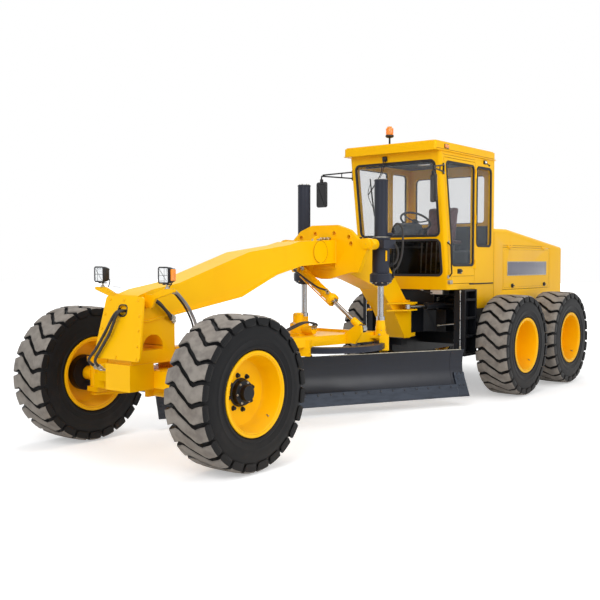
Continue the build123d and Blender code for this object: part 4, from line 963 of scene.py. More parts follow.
def loftShape(corners, radius, levels, steps=5):
    # a closed body over a rounded outline, levels columns: distance out of the outline, height
    outline = roundedOutline(corners, radius, steps)
    bm = bmesh.new()
    rings = [[bm.verts.new((*(point + out * shift), height)) for point, out in outline] for shift, height in levels]
    for first, second in zip(rings, rings[1:]):
        joinRings(bm, first, second)
    bm.faces.new(rings[0][::-1])
    bm.faces.new(rings[-1])
    return bm


def prismShape(points, low, high):
    # a flat outline on the plane z = 0, drawn out from low to high
    bm = bmesh.new()
    rings = [[bm.verts.new((*point, height)) for point in points] for height in (low, high)]
    joinRings(bm, rings[0], rings[1])
    bm.faces.new(rings[0][::-1])
    bm.faces.new(rings[1])
    return bm


def oblong(lowX, highX, lowY, highY):
    return [(lowX, lowY), (highX, lowY), (highX, highY), (lowX, highY)]


def onLeft(y):
    # the plane of a left side, its x is the distance behind the front axle and its y the height
    return planeAt((noseAxle, y, 0), (-1, 0, 0), (0, 0, 1))


def onFront(x):
    return planeAt((x, 0, 0), (0, 1, 0), (0, 0, 1))


def onRear(x):
    return planeAt((x, 0, 0), (0, -1, 0), (0, 0, 1))


def onTop(z):
    return planeAt((0, 0, z), (1, 0, 0), (0, 1, 0))


def boltAt(piece, spot, facing, finish="zincBolt", radius=0.011, head=0.008, place=None):
    # one bolt head that looks along the facing direction
    turn = Vector(facing).to_track_quat("Z", "Y").to_matrix().to_4x4()
    where = Matrix.Translation(spot) @ turn
    piece.take(boltMesh(radius, head), where if place is None else place @ where, finish)


def boltsBetween(piece, first, last, count, facing, finish="zincBolt", radius=0.011, head=0.008, place=None):
    # an even row of bolt heads
    step = (Vector(last) - Vector(first)) / max(count - 1, 1)
    turn = Vector(facing).to_track_quat("Z", "Y").to_matrix().to_4x4()
    mesh = turnedMesh(boltMesh(radius, head), turn)
    piece.row(mesh, count, first, step, finish, place)


hoseEnd = {"nut": 1.75, "collar": 1.35, "length": 0.05}


def fitHose(piece, points, radius, finish="hoseRubber", ends=(True, True), place=None, sides=12, steps=8,
        collar="zincBolt"):
    # a hose with a nut and a pressed collar at those ends that are wanted
    piece.hose(points, radius, finish, sides, steps, place)
    for wanted, first, second in ((ends[0], points[0], points[1]), (ends[1], points[-1], points[-2])):
        if not wanted:
            continue
        line = (Vector(second) - Vector(first)).normalized()
        reach = hoseEnd["length"] * radius / 0.012
        piece.lathe(first, line, [(0, -0.004), (radius * 1.5, -0.004), (radius * hoseEnd["nut"], 0.001),
            (radius * hoseEnd["nut"], reach * 0.3), (radius * hoseEnd["collar"], reach * 0.34),
            (radius * hoseEnd["collar"], reach), (radius * 1.05, reach * 1.04), (0, reach * 1.04)], collar, 12, place)


# ---- front frame: nose plate, hoses, head lamps, saddle
nose = {"foot": (4.193, 0.91), "lean": 0.198, "thick": 0.022, "boltRadius": 0.0105, "hoseRadius": 0.0135,
        "conduitRadius": 0.014}
slopeOut = Vector((1, 0, nose["lean"])).normalized()


def noseSpot(y, z, proud=0.0):
    # a place on the front of the nose plate
    return Vector((nose["foot"][0] - nose["lean"] * (z - nose["foot"][1]), y, z)) + slopeOut * (nose["thick"] + proud)


def makeNose():
    piece = Piece("nose_fittings", "front_frame", "bodyYellow", "yellow_paint")
    spots = [(-0.19, 1.443), (0.0, 1.443), (0.19, 1.443), (0.0, 0.935)]
    for side in (1, -1):
        spots += [(side * 0.237, 1.31), (side * 0.252, 1.18), (side * 0.268, 1.045), (side * 0.275, 0.935)]
    for y, z in spots:
        boltAt(piece, noseSpot(y, z), slopeOut, "bodyYellow", nose["boltRadius"], 0.006)
    # rubber edge round the hose hole
    face = planeAt(noseSpot(0, 1.35), (0, 1, 0), (-nose["lean"], 0, 1))
    piece.seal(oblong(-0.06, 0.06, -0.05, 0.05), 0.038, [(0.006, -0.002), (0.006, 0.004), (0.0, 0.006),
        (-0.005, 0.003), (-0.005, -0.024), (0.0, -0.024)], face, "sealRubber")
    # arched opening below the boom, just behind the plate
    arch = {"front": 0.265, "rear": 0.03, "low": 0.99, "high": 1.13, "radius": 0.112}
    across = onLeft(0)
    for start, way in ((arch["rear"], 1), (arch["front"], -1)):
        points = [(start * -1, arch["high"] + 0.004)]
        sweep = [(-(start + way * arch["radius"] * (1 - math.cos(a))),
            arch["high"] - arch["radius"] * (1 - math.sin(a))) for a in [math.radians(10 * n) for n in range(10)]]
        points += sweep
        piece.add(prismShape(points, -0.1598, 0.1598), "bodyYellow", across)
    # stiffening rib behind the plate, and weld beads where the boom's sides meet it
    for side in (1, -1):
        piece.hose([(4.045, side * 0.163, 1.48), (4.1, side * 0.163, 1.2), (4.16, side * 0.163, 0.93)], 0.007,
            "bodyYellow", 8, 3)
        piece.hose([(3.98, side * 0.163, 0.872), (3.75, side * 0.163, 0.872), (3.62, side * 0.163, 0.872)], 0.007,
                   "bodyYellow", 8, 3)
    piece.close()


def makeNoseHoses():
    piece = Piece("nose_hoses", "front_frame", "hoseRubber", "tyre_rubber")
    for shift, end in ((-0.018, Vector((4.1, -0.42, 0.805))), (0.016, Vector((4.13, -0.31, 0.8)))):
        start = noseSpot(shift, 1.35, -0.08)
        fitHose(piece, [start, noseSpot(shift, 1.345, 0.012), noseSpot(shift - 0.03, 1.3, 0.05),
            noseSpot(shift * 2 - 0.12, 1.13, 0.04), noseSpot(shift * 2 - 0.22, 0.98, 0.035),
            noseSpot(end.y * 0.86, 0.88, 0.012), end], nose["hoseRadius"], ends=(False, True))
    # the manifold block that they end in, on the axle's front
    piece.box((3.905, -0.47, 0.735), (4.0, -0.26, 0.8), 0.006, "bodyYellow")
    piece.hose([(4.1, -0.42, 0.805), (4.07, -0.42, 0.785), (4.0, -0.42, 0.77)], 0.011, "zincBolt", 10, 6)
    piece.hose([(4.13, -0.31, 0.8), (4.08, -0.31, 0.785), (4.0, -0.31, 0.77)], 0.011, "zincBolt", 10, 6)
    # lamp cables in their conduit, from the left wing down to the axle
    fitHose(piece, [(3.985, 0.515, 1.535), (3.93, 0.485, 1.525), (3.86, 0.46, 1.49), (3.735, 0.44, 1.38),
        (3.63, 0.43, 1.21), (3.6, 0.4, 1.02), (3.63, 0.36, 0.86), (3.66, 0.34, 0.8)], nose["conduitRadius"],
        "conduitGrey")
    fitHose(piece, [(3.985, 0.49, 1.532), (3.93, 0.46, 1.517), (3.86, 0.435, 1.478), (3.74, 0.415, 1.365),
        (3.64, 0.4, 1.2), (3.605, 0.36, 1.02), (3.64, 0.32, 0.86), (3.67, 0.3, 0.8)], 0.009, "hoseRubber")
    # hoses that run in the corner below the boom
    for shift in (0.0, 0.032):
        fitHose(piece, [(3.981, 0.185 + shift, 1.475), (3.88, 0.2 + shift, 1.43 - shift),
            (3.8, 0.2 + shift, 1.36 - shift), (3.72, 0.19, 1.3 - shift), (3.66, 0.17, 1.27 - shift)], 0.013,
            "hoseRubber")
    piece.close()


headLamp = {"y": 0.447, "z": 1.675, "back": 3.948, "half": (0.066, 0.072)}


def makeHeadLamps():
    piece = Piece("head_lamps", "front_frame", "blackPlastic", "black_paint")
    wide, tall = headLamp["half"]
    for _, _, turn in leftRight:
        face = turn @ planeAt((headLamp["back"], headLamp["y"], headLamp["z"]), (0, 1, 0), (0, 0, 1))
        piece.add(loftShape(oblong(-wide, wide, -tall, tall), 0.02, [(-0.026, 0), (-0.019, 0.006), (-0.01, 0.022),
            (-0.003, 0.045), (0, 0.06), (0, 0.087), (0.003, 0.089), (0.003, 0.094), (0, 0.096), (-0.007, 0.096),
            (-0.0095, 0.089)]), "blackPlastic", face)
        piece.add(loftShape(oblong(-wide, wide, -tall, tall), 0.02,
            [(-0.009, 0.084), (-0.009, 0.091), (-0.013, 0.0945), (-0.024, 0.096)]), "lampLens", face)
        # dividing bars over the glass
        for low, high in (((-0.0015, -tall + 0.01), (0.0015, tall - 0.01)),
                ((-wide + 0.01, -0.0015), (wide - 0.01, 0.0015))):
            shift = 0.016 if low[0] > -0.01 else 0.0
            piece.box((low[0] + shift, low[1], 0.0945), (high[0] + shift, high[1], 0.0985), 0.0008, "castGrey", face)
        piece.add(loftShape(oblong(0.072, 0.0925, -0.05, 0.054), 0.009,
            [(-0.005, 0.024), (0, 0.029), (0, 0.072), (-0.005, 0.078)]), "amberLens", face)
        piece.add(loftShape(oblong(0.062, 0.075, -0.056, 0.06), 0.005,
            [(-0.002, 0.02), (0, 0.022), (0, 0.082), (-0.002, 0.084)]), "blackPlastic", face)
        # yoke, stem and its nuts
        x = 3.995
        piece.box((x - 0.014, headLamp["y"] - 0.05, headLamp["z"] - tall - 0.014),
                  (x + 0.014, headLamp["y"] + 0.05, headLamp["z"] - tall - 0.004), 0.003, "blackPlastic", turn)
        piece.lathe((x, headLamp["y"], 1.556), (0, 0, 1), [(0, 0), (0.024, 0), (0.024, 0.005), (0.016, 0.007),
            (0.016, 0.017), (0.0085, 0.019), (0.0085, 0.034), (0.016, 0.036), (0.016, 0.046), (0, 0.047)], "zincBolt",
            12, turn)
        piece.hose([(headLamp["back"] + 0.01, headLamp["y"], headLamp["z"] - 0.02),
                    (headLamp["back"] - 0.03, headLamp["y"], headLamp["z"] - 0.05),
                    (headLamp["back"] - 0.02, headLamp["y"] - 0.02, 1.6),
                    (headLamp["back"] + 0.005, headLamp["y"] - 0.03, 1.556)], 0.005, "hoseRubber", 8, 6, turn)
    piece.box((3.97, -0.3, 1.556), (4.0, -0.2, 1.561), 0.001, "blackPlastic")
    piece.close(["headlamps"])


def makeSaddle():
    piece = Piece("saddle_fittings", "front_frame", "bodyYellow", "yellow_paint")
    front = back(2.65)
    # filler behind the boom, where the neck passes the saddle plate
    piece.box((front - 0.06, -0.1598, 1.7), (front, 0.1598, 1.778), 0.003)
    for side in (1, -1):
        piece.lathe((front, side * 0.6, 1.994), (1, 0, 0), [(0, 0), (0.058, 0), (0.058, 0.014), (0.054, 0.019),
            (0.02, 0.022), (0, 0.022)], "bodyYellow", 40)
        piece.ring(boltMesh(0.007, 0.005), 3, (front + 0.019, side * 0.6, 1.994), (1, 0, 0), 0.4, "bodyYellow")
        # the boom's side disc has an open seam round it, drawn as a thin dark ochre ring of painted shade
        piece.lathe((back(2.35), side * 0.1705, 1.905), (0, side, 0),
            [(0.124, 0), (0.128, 0), (0.128, 0.0022), (0.124, 0.0022)], "seamPaintedShade", 56)
        # lock pins in the upper index holes
        for y, z in ((0.14, 2.122), (0.35, 2.078), (0.378, 2.002)):
            piece.lathe((front, side * y, z), (1, 0, 0), [(0.022, -0.002), (0.03, -0.002), (0.03, 0.004),
                (0.026, 0.006), (0.022, 0.004)], "bodyYellow", 28)
    # weld beads between the boom's sides and the saddle
    for side in (1, -1):
        piece.hose([(front + 0.004, side * 0.164, 1.72), (front + 0.004, side * 0.164, 1.88),
            (front + 0.004, side * 0.164, 2.04)], 0.009, "bodyYellow", 8, 3)
    # neck top lug with its pin
    piece.lathe((back(2.5), -0.06, 2.035), (0, 1, 0), [(0, 0), (0.026, 0), (0.026, 0.12), (0, 0.12)], "zincBolt",
        24)
    # hose bundle over the saddle towards the cab
    for n in range(4):
        y = -0.075 + n * 0.05
        fitHose(piece, [(back(2.6), y, 2.054), (back(2.75), y, 2.085), (back(3.0), y * 0.9, 2.072),
            (back(3.28), y * 0.85, 2.07), (back(3.6), y * 0.8, 1.965), (back(3.74) + 0.023, y * 0.8, 1.818)], 0.012,
            "hoseRubber")
    for distance, height in ((2.95, 2.052), (3.25, 2.052)):
        piece.box((back(distance) - 0.02, -0.11, height - 0.008), (back(distance) + 0.02, 0.11, height + 0.042),
            0.006, "chassisBlack")
    piece.close()


makeNose()
makeNoseHoses()
makeHeadLamps()
makeSaddle()
print("front frame dressed")


# ---- lift and shift cylinders
liftAt = (0.783, 0.57)


def makeLiftCylinders():
    for name, side, turn in leftRight:
        x, y = liftAt
        piece = Piece("lift_trim_" + name, "lift_barrel_" + name, "slateBlue", "blade_paint")
        # collar round the trunnion, wiper gland at the foot, cap on the long tube
        piece.lathe((x, y, 2.045), (0, 0, 1), [(0.08, 0), (0.108, 0), (0.112, 0.005), (0.112, 0.022), (0.106, 0.028),
            (0.08, 0.028)], "slateBlue", 56, turn)
        piece.lathe((x, y, 2.074), (0, 0, 1), [(0.079, 0), (0.096, 0), (0.096, 0.006), (0.079, 0.01)], "zincBolt", 48,
            turn)
        piece.lathe((x, y, 1.645), (0, 0, 1), [(0.1, 0), (0.126, 0), (0.126, 0.004), (0.104, 0.02), (0.1, 0.02)],
            "slateBlue", 56, turn)
        piece.lathe((x, y, 1.545), (0, 0, -1), [(0.037, 0), (0.082, 0), (0.082, 0.01), (0.072, 0.03), (0.037, 0.034)],
            "slateBlue", 48, turn)
        piece.lathe((x, y, 2.722), (0, 0, 1), [(0.078, 0), (0.0815, 0.002), (0.0815, 0.016), (0.074, 0.022),
            (0.02, 0.024), (0, 0.024)], "slateBlue", 48, turn)
        piece.ring(turnedMesh(boltMesh(0.008, 0.007), Matrix.Translation((0.056, 0, 0))), 6, (x, side * y, 2.745),
            (0, 0, 1), 0.2, "zincBolt")
        boltRing = turnedMesh(boltMesh(0.009, 0.008),
            Matrix.Translation((0.113, 0, 0)) @ Matrix.Rotation(math.pi, 4, "X"))
        piece.ring(boltRing, 10, (x, side * y, 1.555), (0, 0, 1), 0.1, "zincBolt")
        # ports with elbows on the outboard side, and the hoses between them
        out = Vector((-0.63, 0.777, 0))
        axis = Vector((x, y, 0))
        for z in (2.11, 1.6):
            spot = axis + out * 0.14 + Vector((0, 0, z))
            piece.rod(axis + out * 0.07 + Vector((0, 0, z)), spot, 0.022, "slateBlue", 16, place=turn)
            piece.rod(spot, spot + Vector((0, 0, 0.03)), 0.018, "chassisBlack", 6, place=turn)
        for line in ([(0.14, 2.135), (0.145, 2.19), (0.19, 2.235), (0.245, 2.19), (0.255, 2.05), (0.245, 1.88),
                (0.2, 1.74), (0.15, 1.69), (0.14, 1.631)], [(0.078, 2.0), (0.13, 2.01), (0.18, 1.97), (0.2, 1.88),
                (0.17, 1.78), (0.098, 1.75)]):
            fitHose(piece, [axis + out * reach + Vector((0, 0, z)) for reach, z in line], 0.012, place=turn,
                collar="chassisBlack")
        # strip with the serial line, left bare
        piece.box((x + 0.02, y + 0.094, 1.8), (x + 0.05, y + 0.1015, 1.92), 0.002, "bodyYellow", turn)
        piece.close()
        rod = Piece("lift_foot_" + name, "lift_rod_" + name, "bodyYellow", "yellow_paint")
        # painted sleeve and its ball housing's cap at the rod's foot
        rod.lathe((x, y, 0.99), (0, 0, 1), [(0.03, 0), (0.056, 0), (0.06, 0.01), (0.06, 0.05), (0.053, 0.07),
            (0.052, 0.115), (0.044, 0.145), (0.0375, 0.164), (0.03, 0.164)], "bodyYellow", 44, turn)
        rod.close()


def alongLine(start, end, distance):
    start, end = Vector(start), Vector(end)
    return start + (end - start).normalized() * distance


shiftLine = ((1.203, -0.31, 1.72), (1.203, 0.6, 1.04))


def makeShiftCylinder():
    piece = Piece("shift_trim", "shift_barrel", "bodyYellow", "yellow_paint")
    start, end = Vector(shiftLine[0]), Vector(shiftLine[1])
    line = (end - start).normalized()

    def at(distance, out=0.0, turn=0.0):
        # out from the axis: turn 0 is up and to the front, a quarter is straight ahead
        up = Vector((0, -line.z, line.y)) * -1 if line.y < 0 else Vector((0, -line.z, line.y))
        return start + line * distance + (up * math.cos(turn) + Vector((1, 0, 0)) * math.sin(turn)) * out
    for distance in (0.14, 0.3, 0.46):
        piece.lathe(at(distance), line, [(0.05, 0), (0.056, 0), (0.057, 0.003), (0.057, 0.017), (0.056, 0.02),
            (0.05, 0.02)], "bodyYellow", 40)
    bolt = boltMesh(0.011, 0.012, 0.002)
    spin = line.to_track_quat("Z", "Y").to_matrix().to_4x4()
    ringBolt = turnedMesh(bolt, Matrix.Translation((0.058, 0, 0)))
    piece.take(grow(ringBolt, "ring", {"Count": 8, "Axis": (0, 0, 1), "Start Turn": 0.2,
        "Finish": finishes["bodyYellow"], "Second Finish": finishes["bodyYellow"]}),
        Matrix.Translation(at(0.64)) @ spin)
    piece.lathe(at(0.59), -line, [(0.05, 0), (0.073, 0), (0.073, 0.006), (0.06, 0.03), (0.05, 0.03)], "bodyYellow",
        40)
    piece.lathe(at(0.64), line, [(0.026, 0), (0.045, 0), (0.043, 0.016), (0.03, 0.02), (0.026, 0.02)], "rodChrome",
        32)
    # ports and the two hoses that loop back along the barrel
    for distance, turn in ((0.56, 0.9), (0.1, 0.9)):
        piece.rod(at(distance, 0.045, turn), at(distance, 0.085, turn), 0.02, "bodyYellow", 16)
        piece.rod(at(distance, 0.085, turn), at(distance, 0.1, turn), 0.016, "zincBolt", 6)
    fitHose(piece, [at(0.56, 0.1, 0.9), at(0.54, 0.14, 0.9), at(0.44, 0.135, 1.2), at(0.3, 0.12, 1.4),
        at(0.12, 0.14, 1.5), at(0.04, 0.13, 1.6), at(0.02, 0.08, 1.7)], 0.012)
    fitHose(piece, [at(0.1, 0.1, 0.9), at(0.07, 0.15, 0.9), at(0.0, 0.16, 1.1), at(-0.03, 0.12, 1.4)], 0.012)
    # the thin return pipe beside the barrel
    piece.hose([at(0.09, 0.066, 2.6), at(0.3, 0.066, 2.6), at(0.57, 0.066, 2.6), at(0.6, 0.07, 2.4)], 0.008,
        "bodyYellow", 10, 4)
    piece.close()
    foot = Piece("shift_foot", "shift_rod", "bodyYellow", "yellow_paint")
    foot.lathe(alongLine(start, end, 0.975), line, [(0.02, 0), (0.034, 0), (0.04, 0.01), (0.042, 0.09),
        (0.046, 0.115), (0.046, 0.12), (0.02, 0.12)], "bodyYellow", 36)
    foot.close()


makeLiftCylinders()
makeShiftCylinder()
print("lift and shift cylinders dressed")


# ---- drawbar, circle and blade
def makeDrawbarParts():
    piece = Piece("drawbar_fittings", "drawbar", "bodyYellow", "yellow_paint")
    # circle drive: bolts on its motor flange, cap and hoses
    x, z = 1.607, 1.195
    piece.ring(turnedMesh(boltMesh(0.01, 0.009), Matrix.Translation((0.078, 0, 0))), 8, (x, 0, 1.095), (0, 0, 1), 0.1,
        "zincBolt")
    piece.lathe((x, 0, z), (0, 0, 1), [(0, 0), (0.058, 0), (0.058, 0.006), (0.04, 0.022), (0, 0.024)], "bodyYellow",
        40)
    piece.ring(turnedMesh(boltMesh(0.007, 0.006), Matrix.Translation((0.05, 0, 0.004))), 6, (x, 0, z), (0, 0, 1), 0.3,
        "zincBolt")
    for shift in (-0.02, 0.025):
        fitHose(piece, [(x + shift, 0.225, 1.05), (x + 0.02 + shift, 0.26, 1.1), (x + 0.16, 0.2 + shift, 1.12),
            (x + 0.4, 0.11 + shift, 1.03), (x + 0.7, 0.08 + shift, 0.995), (2.505, 0.07 + shift, 0.99)], 0.011)
    for distance in (2.03, 2.5):
        piece.box((distance - 0.015, 0.04, 0.975), (distance + 0.015, 0.16, 1.008), 0.004, "chassisBlack")
    # bolted guide shoes under the deck
    for turn in (24, 122, 238, 336):
        middle = Vector((1.177 + 0.68 * math.cos(math.radians(turn)), 0.68 * math.sin(math.radians(turn)), 0.947))
        along = Vector((-math.sin(math.radians(turn)), math.cos(math.radians(turn)), 0)) * 0.05
        boltsBetween(piece, middle - along, middle + along, 3, (0, 0, 1), "zincBolt", 0.012, 0.009)
    # grease cups on the beams
    for side in (1, -1):
        piece.lathe((2.95, side * 0.1, 0.975), (0, 0, 1), [(0, 0), (0.014, 0), (0.014, 0.008), (0.006, 0.01),
            (0.006, 0.022), (0, 0.024)], "zincBolt", 12)
    for side in (1, -1):
        # ball caps where the lift rods take hold
        piece.lathe((0.783, side * 0.57, 0.891), (0, 0, -1),
            [(0, 0), (0.05, 0), (0.05, 0.008), (0.03, 0.016), (0, 0.018)], "bodyYellow", 32)
        piece.ring(turnedMesh(boltMesh(0.008, 0.007), Matrix.Translation((0.054, 0, 0))), 4,
            (0.783, side * 0.57, 0.993), (0, 0, 1), 0.78, "zincBolt")
    piece.close()


bladePlace = Matrix.Translation((1.177, 0, 0)) @ Matrix.Rotation(math.radians(62.4), 4, "Z")
blade = {"length": 3.965, "arc": [(0.03, 0.69), (-0.01, 0.45), (0.09, 0.225)], "top": 0.69, "bolts": 22,
    "boltRow": 0.236}


def bladeFace(height):
    # how far forward the blade's curved face lies at a height
    (x1, y1), (x2, y2), (x3, y3) = blade["arc"]
    twice = 2 * (x1 * (y2 - y3) + x2 * (y3 - y1) + x3 * (y1 - y2))
    s1, s2, s3 = x1 * x1 + y1 * y1, x2 * x2 + y2 * y2, x3 * x3 + y3 * y3
    middleX = (s1 * (y2 - y3) + s2 * (y3 - y1) + s3 * (y1 - y2)) / twice
    middleY = (s1 * (x3 - x2) + s2 * (x1 - x3) + s3 * (x2 - x1)) / twice
    radius = math.hypot(x1 - middleX, y1 - middleY)
    return middleX - math.sqrt(radius ** 2 - (height - middleY) ** 2)


def makeBladeParts():
    half = blade["length"] / 2
    piece = Piece("blade_fittings", "moldboard", "bladeSlate", "blade_paint")
    # square-neck bolts through the cutting edge, and in two columns at each end bit
    level = blade["boltRow"]
    x = 0.088 + (0.262 - level) * 64 / 152
    boltsBetween(piece, (x, -half + 0.24, level), (x, half - 0.24, level), blade["bolts"], (1, 0, 0.42), "bladeSlate",
        0.012, 0.004, bladePlace)
    boltsBetween(piece, (x - 0.062, -half + 0.24, level + 0.01), (x - 0.062, half - 0.24, level + 0.01),
        blade["bolts"], (-1, 0, -0.42), "zincBolt", 0.014, 0.012, bladePlace)
    for side in (1, -1):
        for along in (0.045, 0.105):
            for height in (0.25, 0.32, 0.385):
                boltAt(piece, (bladeFace(height) + 0.022, side * (half - along), height), (1, 0, 0.3), "bladeSlate",
                    0.011, 0.004, bladePlace)
    # bright metal strip along the top, a painted highlight of the top edge, which stops short of the ends
    points = [(bladeFace(blade["top"]) - 0.0242, blade["top"] - 0.006),
        (bladeFace(blade["top"]) + 0.0035, blade["top"] - 0.006),
        (bladeFace(blade["top"]) + 0.0035, blade["top"] + 0.001),
        (bladeFace(blade["top"]) - 0.0242, blade["top"] + 0.001)]
    strip = planeAt((0, 0, 0), (1, 0, 0), (0, 0, 1))
    for low, high in ((-half + 0.12, -0.35), (0.1, half - 0.05)):
        piece.add(prismShape(points, -high, -low), "zincBolt", bladePlace @ strip)
    # vertical seam of the end plate
    for side in (1, -1):
        rows = [bladeFace(h) + 0.0012 for h in (0.27, 0.35, 0.43, 0.51, 0.6, 0.68)]
        heights = (0.27, 0.35, 0.43, 0.51, 0.6, 0.68)
        piece.hose([(r, side * (half - 0.19), h) for r, h in zip(rows, heights)], 0.0022, "seamSlate", 6, 4,
            bladePlace)
    # stiffening ribs on the back
    for n in range(9):
        y = -1.48 + n * 0.37
        if abs(abs(y) - 0.6) < 0.12:
            continue
        back_ = [(bladeFace(h) - 0.022, h) for h in (0.66, 0.61)]
        piece.add(prismShape([(back_[0][0], 0.655), (back_[1][0], 0.6), (-0.075, 0.6), (-0.05, 0.655)], -0.006,
            0.006), "bladeSlate", bladePlace @ Matrix.Translation((0, y, 0)) @ strip)
    piece.close()
    shift = Piece("side_shift_trim", "blade_carrier", "slateBlue", "blade_paint")
    for end, way in ((-0.59, -1), (0.594, 1)):
        shift.lathe((-0.098, end, 0.43), (0, way, 0), [(0.03, -0.02), (0.055, -0.02), (0.057, -0.016),
            (0.057, 0.002), (0.055, 0.004), (0.03, 0.004)], "slateBlue", 36, bladePlace)
    for along in (-0.52, 0.52):
        shift.rod((-0.098, along, 0.47), (-0.098, along, 0.512), 0.018, "slateBlue", 14, place=bladePlace)
        fitHose(shift, [(-0.098, along, 0.51), (-0.105, along * 0.98, 0.54), (-0.165, along * 0.8, 0.55),
            (-0.185, along * 0.5, 0.6), (-0.168, along * 0.2, 0.619)], 0.01, place=bladePlace)
    for y in (-0.575, 0.575):
        for spot in ((-0.03, 0.235), (-0.11, 0.235), (-0.1, 0.6), (-0.14, 0.6)):
            side = 1 if y > 0 else -1
            boltAt(shift, (spot[0], y + side * 0.0185, spot[1]), (0, side, 0), "zincBolt", 0.009, 0.004, bladePlace)
    shift.close()
    ring = Piece("circle_teeth", "circle", "slateBlue", "blade_paint")
    tooth = bpy.data.meshes.new("tooth")
    bm = bmesh.new()
    outline = [(0.622, -0.017), (0.604, -0.008), (0.604, 0.008), (0.622, 0.017)]
    rings = [[bm.verts.new((*p, z)) for p in outline] for z in (0.8, 0.845)]
    joinRings(bm, rings[0], rings[1])
    bm.faces.new(rings[0][::-1])
    bm.faces.new(rings[1])
    bmesh.ops.recalc_face_normals(bm, faces=bm.faces)
    bm.to_mesh(tooth)
    bm.free()
    ring.ring(tooth, 84, (1.177, 0, 0), (0, 0, 1), 0.0, "edgeSteel")
    # a rolled lip round the outside of the circle
    ring.lathe((1.177, 0, 0.792), (0, 0, 1), [(0.738, 0), (0.744, 0.0), (0.745, 0.002), (0.745, 0.01),
        (0.744, 0.012), (0.738, 0.012)], "slateBlue", 120)
    for side in (1, -1):
        for height in (0.33, 0.4, 0.47):
            boltAt(ring, (-0.19 - (height - 0.33) * 0.1, side * 0.645, height), (0, side, 0), "zincBolt", 0.012, 0.01,
                bladePlace)
    ring.close()


makeDrawbarParts()
makeBladeParts()
print("drawbar, circle and blade dressed")


# ---- cab: seals, wiper, roof trim, inside, seat, mirrors, beacon
cab = {"half": 0.69, "slant": 0.14773, "frontTop": -0.357, "top": 3.19, "floor": 1.49, "rear": back(5.64)}
cabFront = planeAt((cab["frontTop"] - cab["top"] * cab["slant"], 0, 0), (0, 1, 0), (cab["slant"], 0, 1))
slantStep = math.sqrt(1 + cab["slant"] ** 2)       # height along the sloping front for one of height
sealSection = [(0.006, -0.012), (0.019, 0.0), (0.019, 0.004), (0.013, 0.009), (-0.002, 0.01), (-0.012, 0.006),
    (-0.013, -0.004), (-0.01, -0.012)]


def windscreenSpot(y, z, proud=0.0):
    return Vector((cab["frontTop"] - (cab["top"] - z) * cab["slant"], y, z)) + Vector((1, 0,
        -cab["slant"])).normalized() * proud


def makeSeals():
    piece = Piece("window_seals", "rear_frame", "sealRubber", "black_paint")
    for low, high in ((2.13, 3.07), (1.62, 2.07)):
        piece.seal(oblong(-0.6, 0.6, low * slantStep, high * slantStep), 0.06, sealSection, cabFront, steps=8)
    piece.seal(oblong(-0.56, 0.56, 2.33, 3.0), 0.06, sealSection, onRear(cab["rear"]), steps=8)
    for _, _, turn in leftRight:
        piece.seal(oblong(5.13, 5.54, 2.01, 3.06), 0.055, sealSection, turn @ onLeft(cab["half"]), steps=8)
    piece.close()
    pane = [(4.285, 3.06), (4.48, 1.75), (5.03, 1.75), (5.03, 3.06)]
    for name, _, turn in leftRight:
        door = Piece("door_trim_" + name, "cab_door_" + name, "sealRubber", "black_paint")
        door.seal(pane, 0.04, sealSection, turn @ onLeft(cab["half"]), steps=8)
        # handle in its cup, key cylinder, and the inner panel with its pull
        door.add(loftShape(oblong(4.6, 4.72, 1.635, 1.7), 0.014, [(0, -0.001), (0, 0.003), (-0.004, 0.005)]),
            "blackPlastic", turn @ onLeft(cab["half"]))
        door.box((back(4.7), cab["half"] + 0.014, 1.66), (back(4.615), cab["half"] + 0.028, 1.682), 0.005,
            "chassisBlack", turn)
        door.box((back(4.635), cab["half"], 1.662), (back(4.617), cab["half"] + 0.02, 1.68), 0.003, "chassisBlack",
            turn)
        door.lathe((back(4.7), cab["half"] + 0.004, 1.648), (0, 1, 0),
            [(0, 0), (0.008, 0), (0.008, 0.006), (0, 0.007)], "zincBolt", 16, turn)
        # the inner panel is near black, painted shade inside the cab
        inner = [(4.475, 1.73), (4.475 + 0.012, 1.53), (5.04, 1.53), (5.04, 1.73)]
        door.add(loftShape(inner, 0.015, [(0, 0), (0, 0.006), (-0.005, 0.009)]), "liningBoardPaintedShade",
            turn @ planeAt((noseAxle, cab["half"] - 0.0455, 0), (-1, 0, 0), (0, 0, 1)) @ Matrix.Scale(-1, 4, (0, 0,
            1)))
        door.rod((back(4.62), 0.615, 1.83), (back(4.62), 0.615, 2.02), 0.009, "blackPlastic", 14, place=turn)
        for z in (1.84, 2.01):
            door.rod((back(4.62), 0.615, z), (back(4.62), 0.648, z), 0.008, "blackPlastic", 12, place=turn)
        # the line where the pressed panel folds, just above its foot, drawn as a thin dark line of painted shade
        door.hose([(back(4.47), cab["half"] + 0.0004, 1.605), (back(4.75), cab["half"] + 0.0004, 1.605),
                   (back(5.055), cab["half"] + 0.0004, 1.605)], 0.0026, "seamPaintedShade", 6, 3, turn)
        door.close()


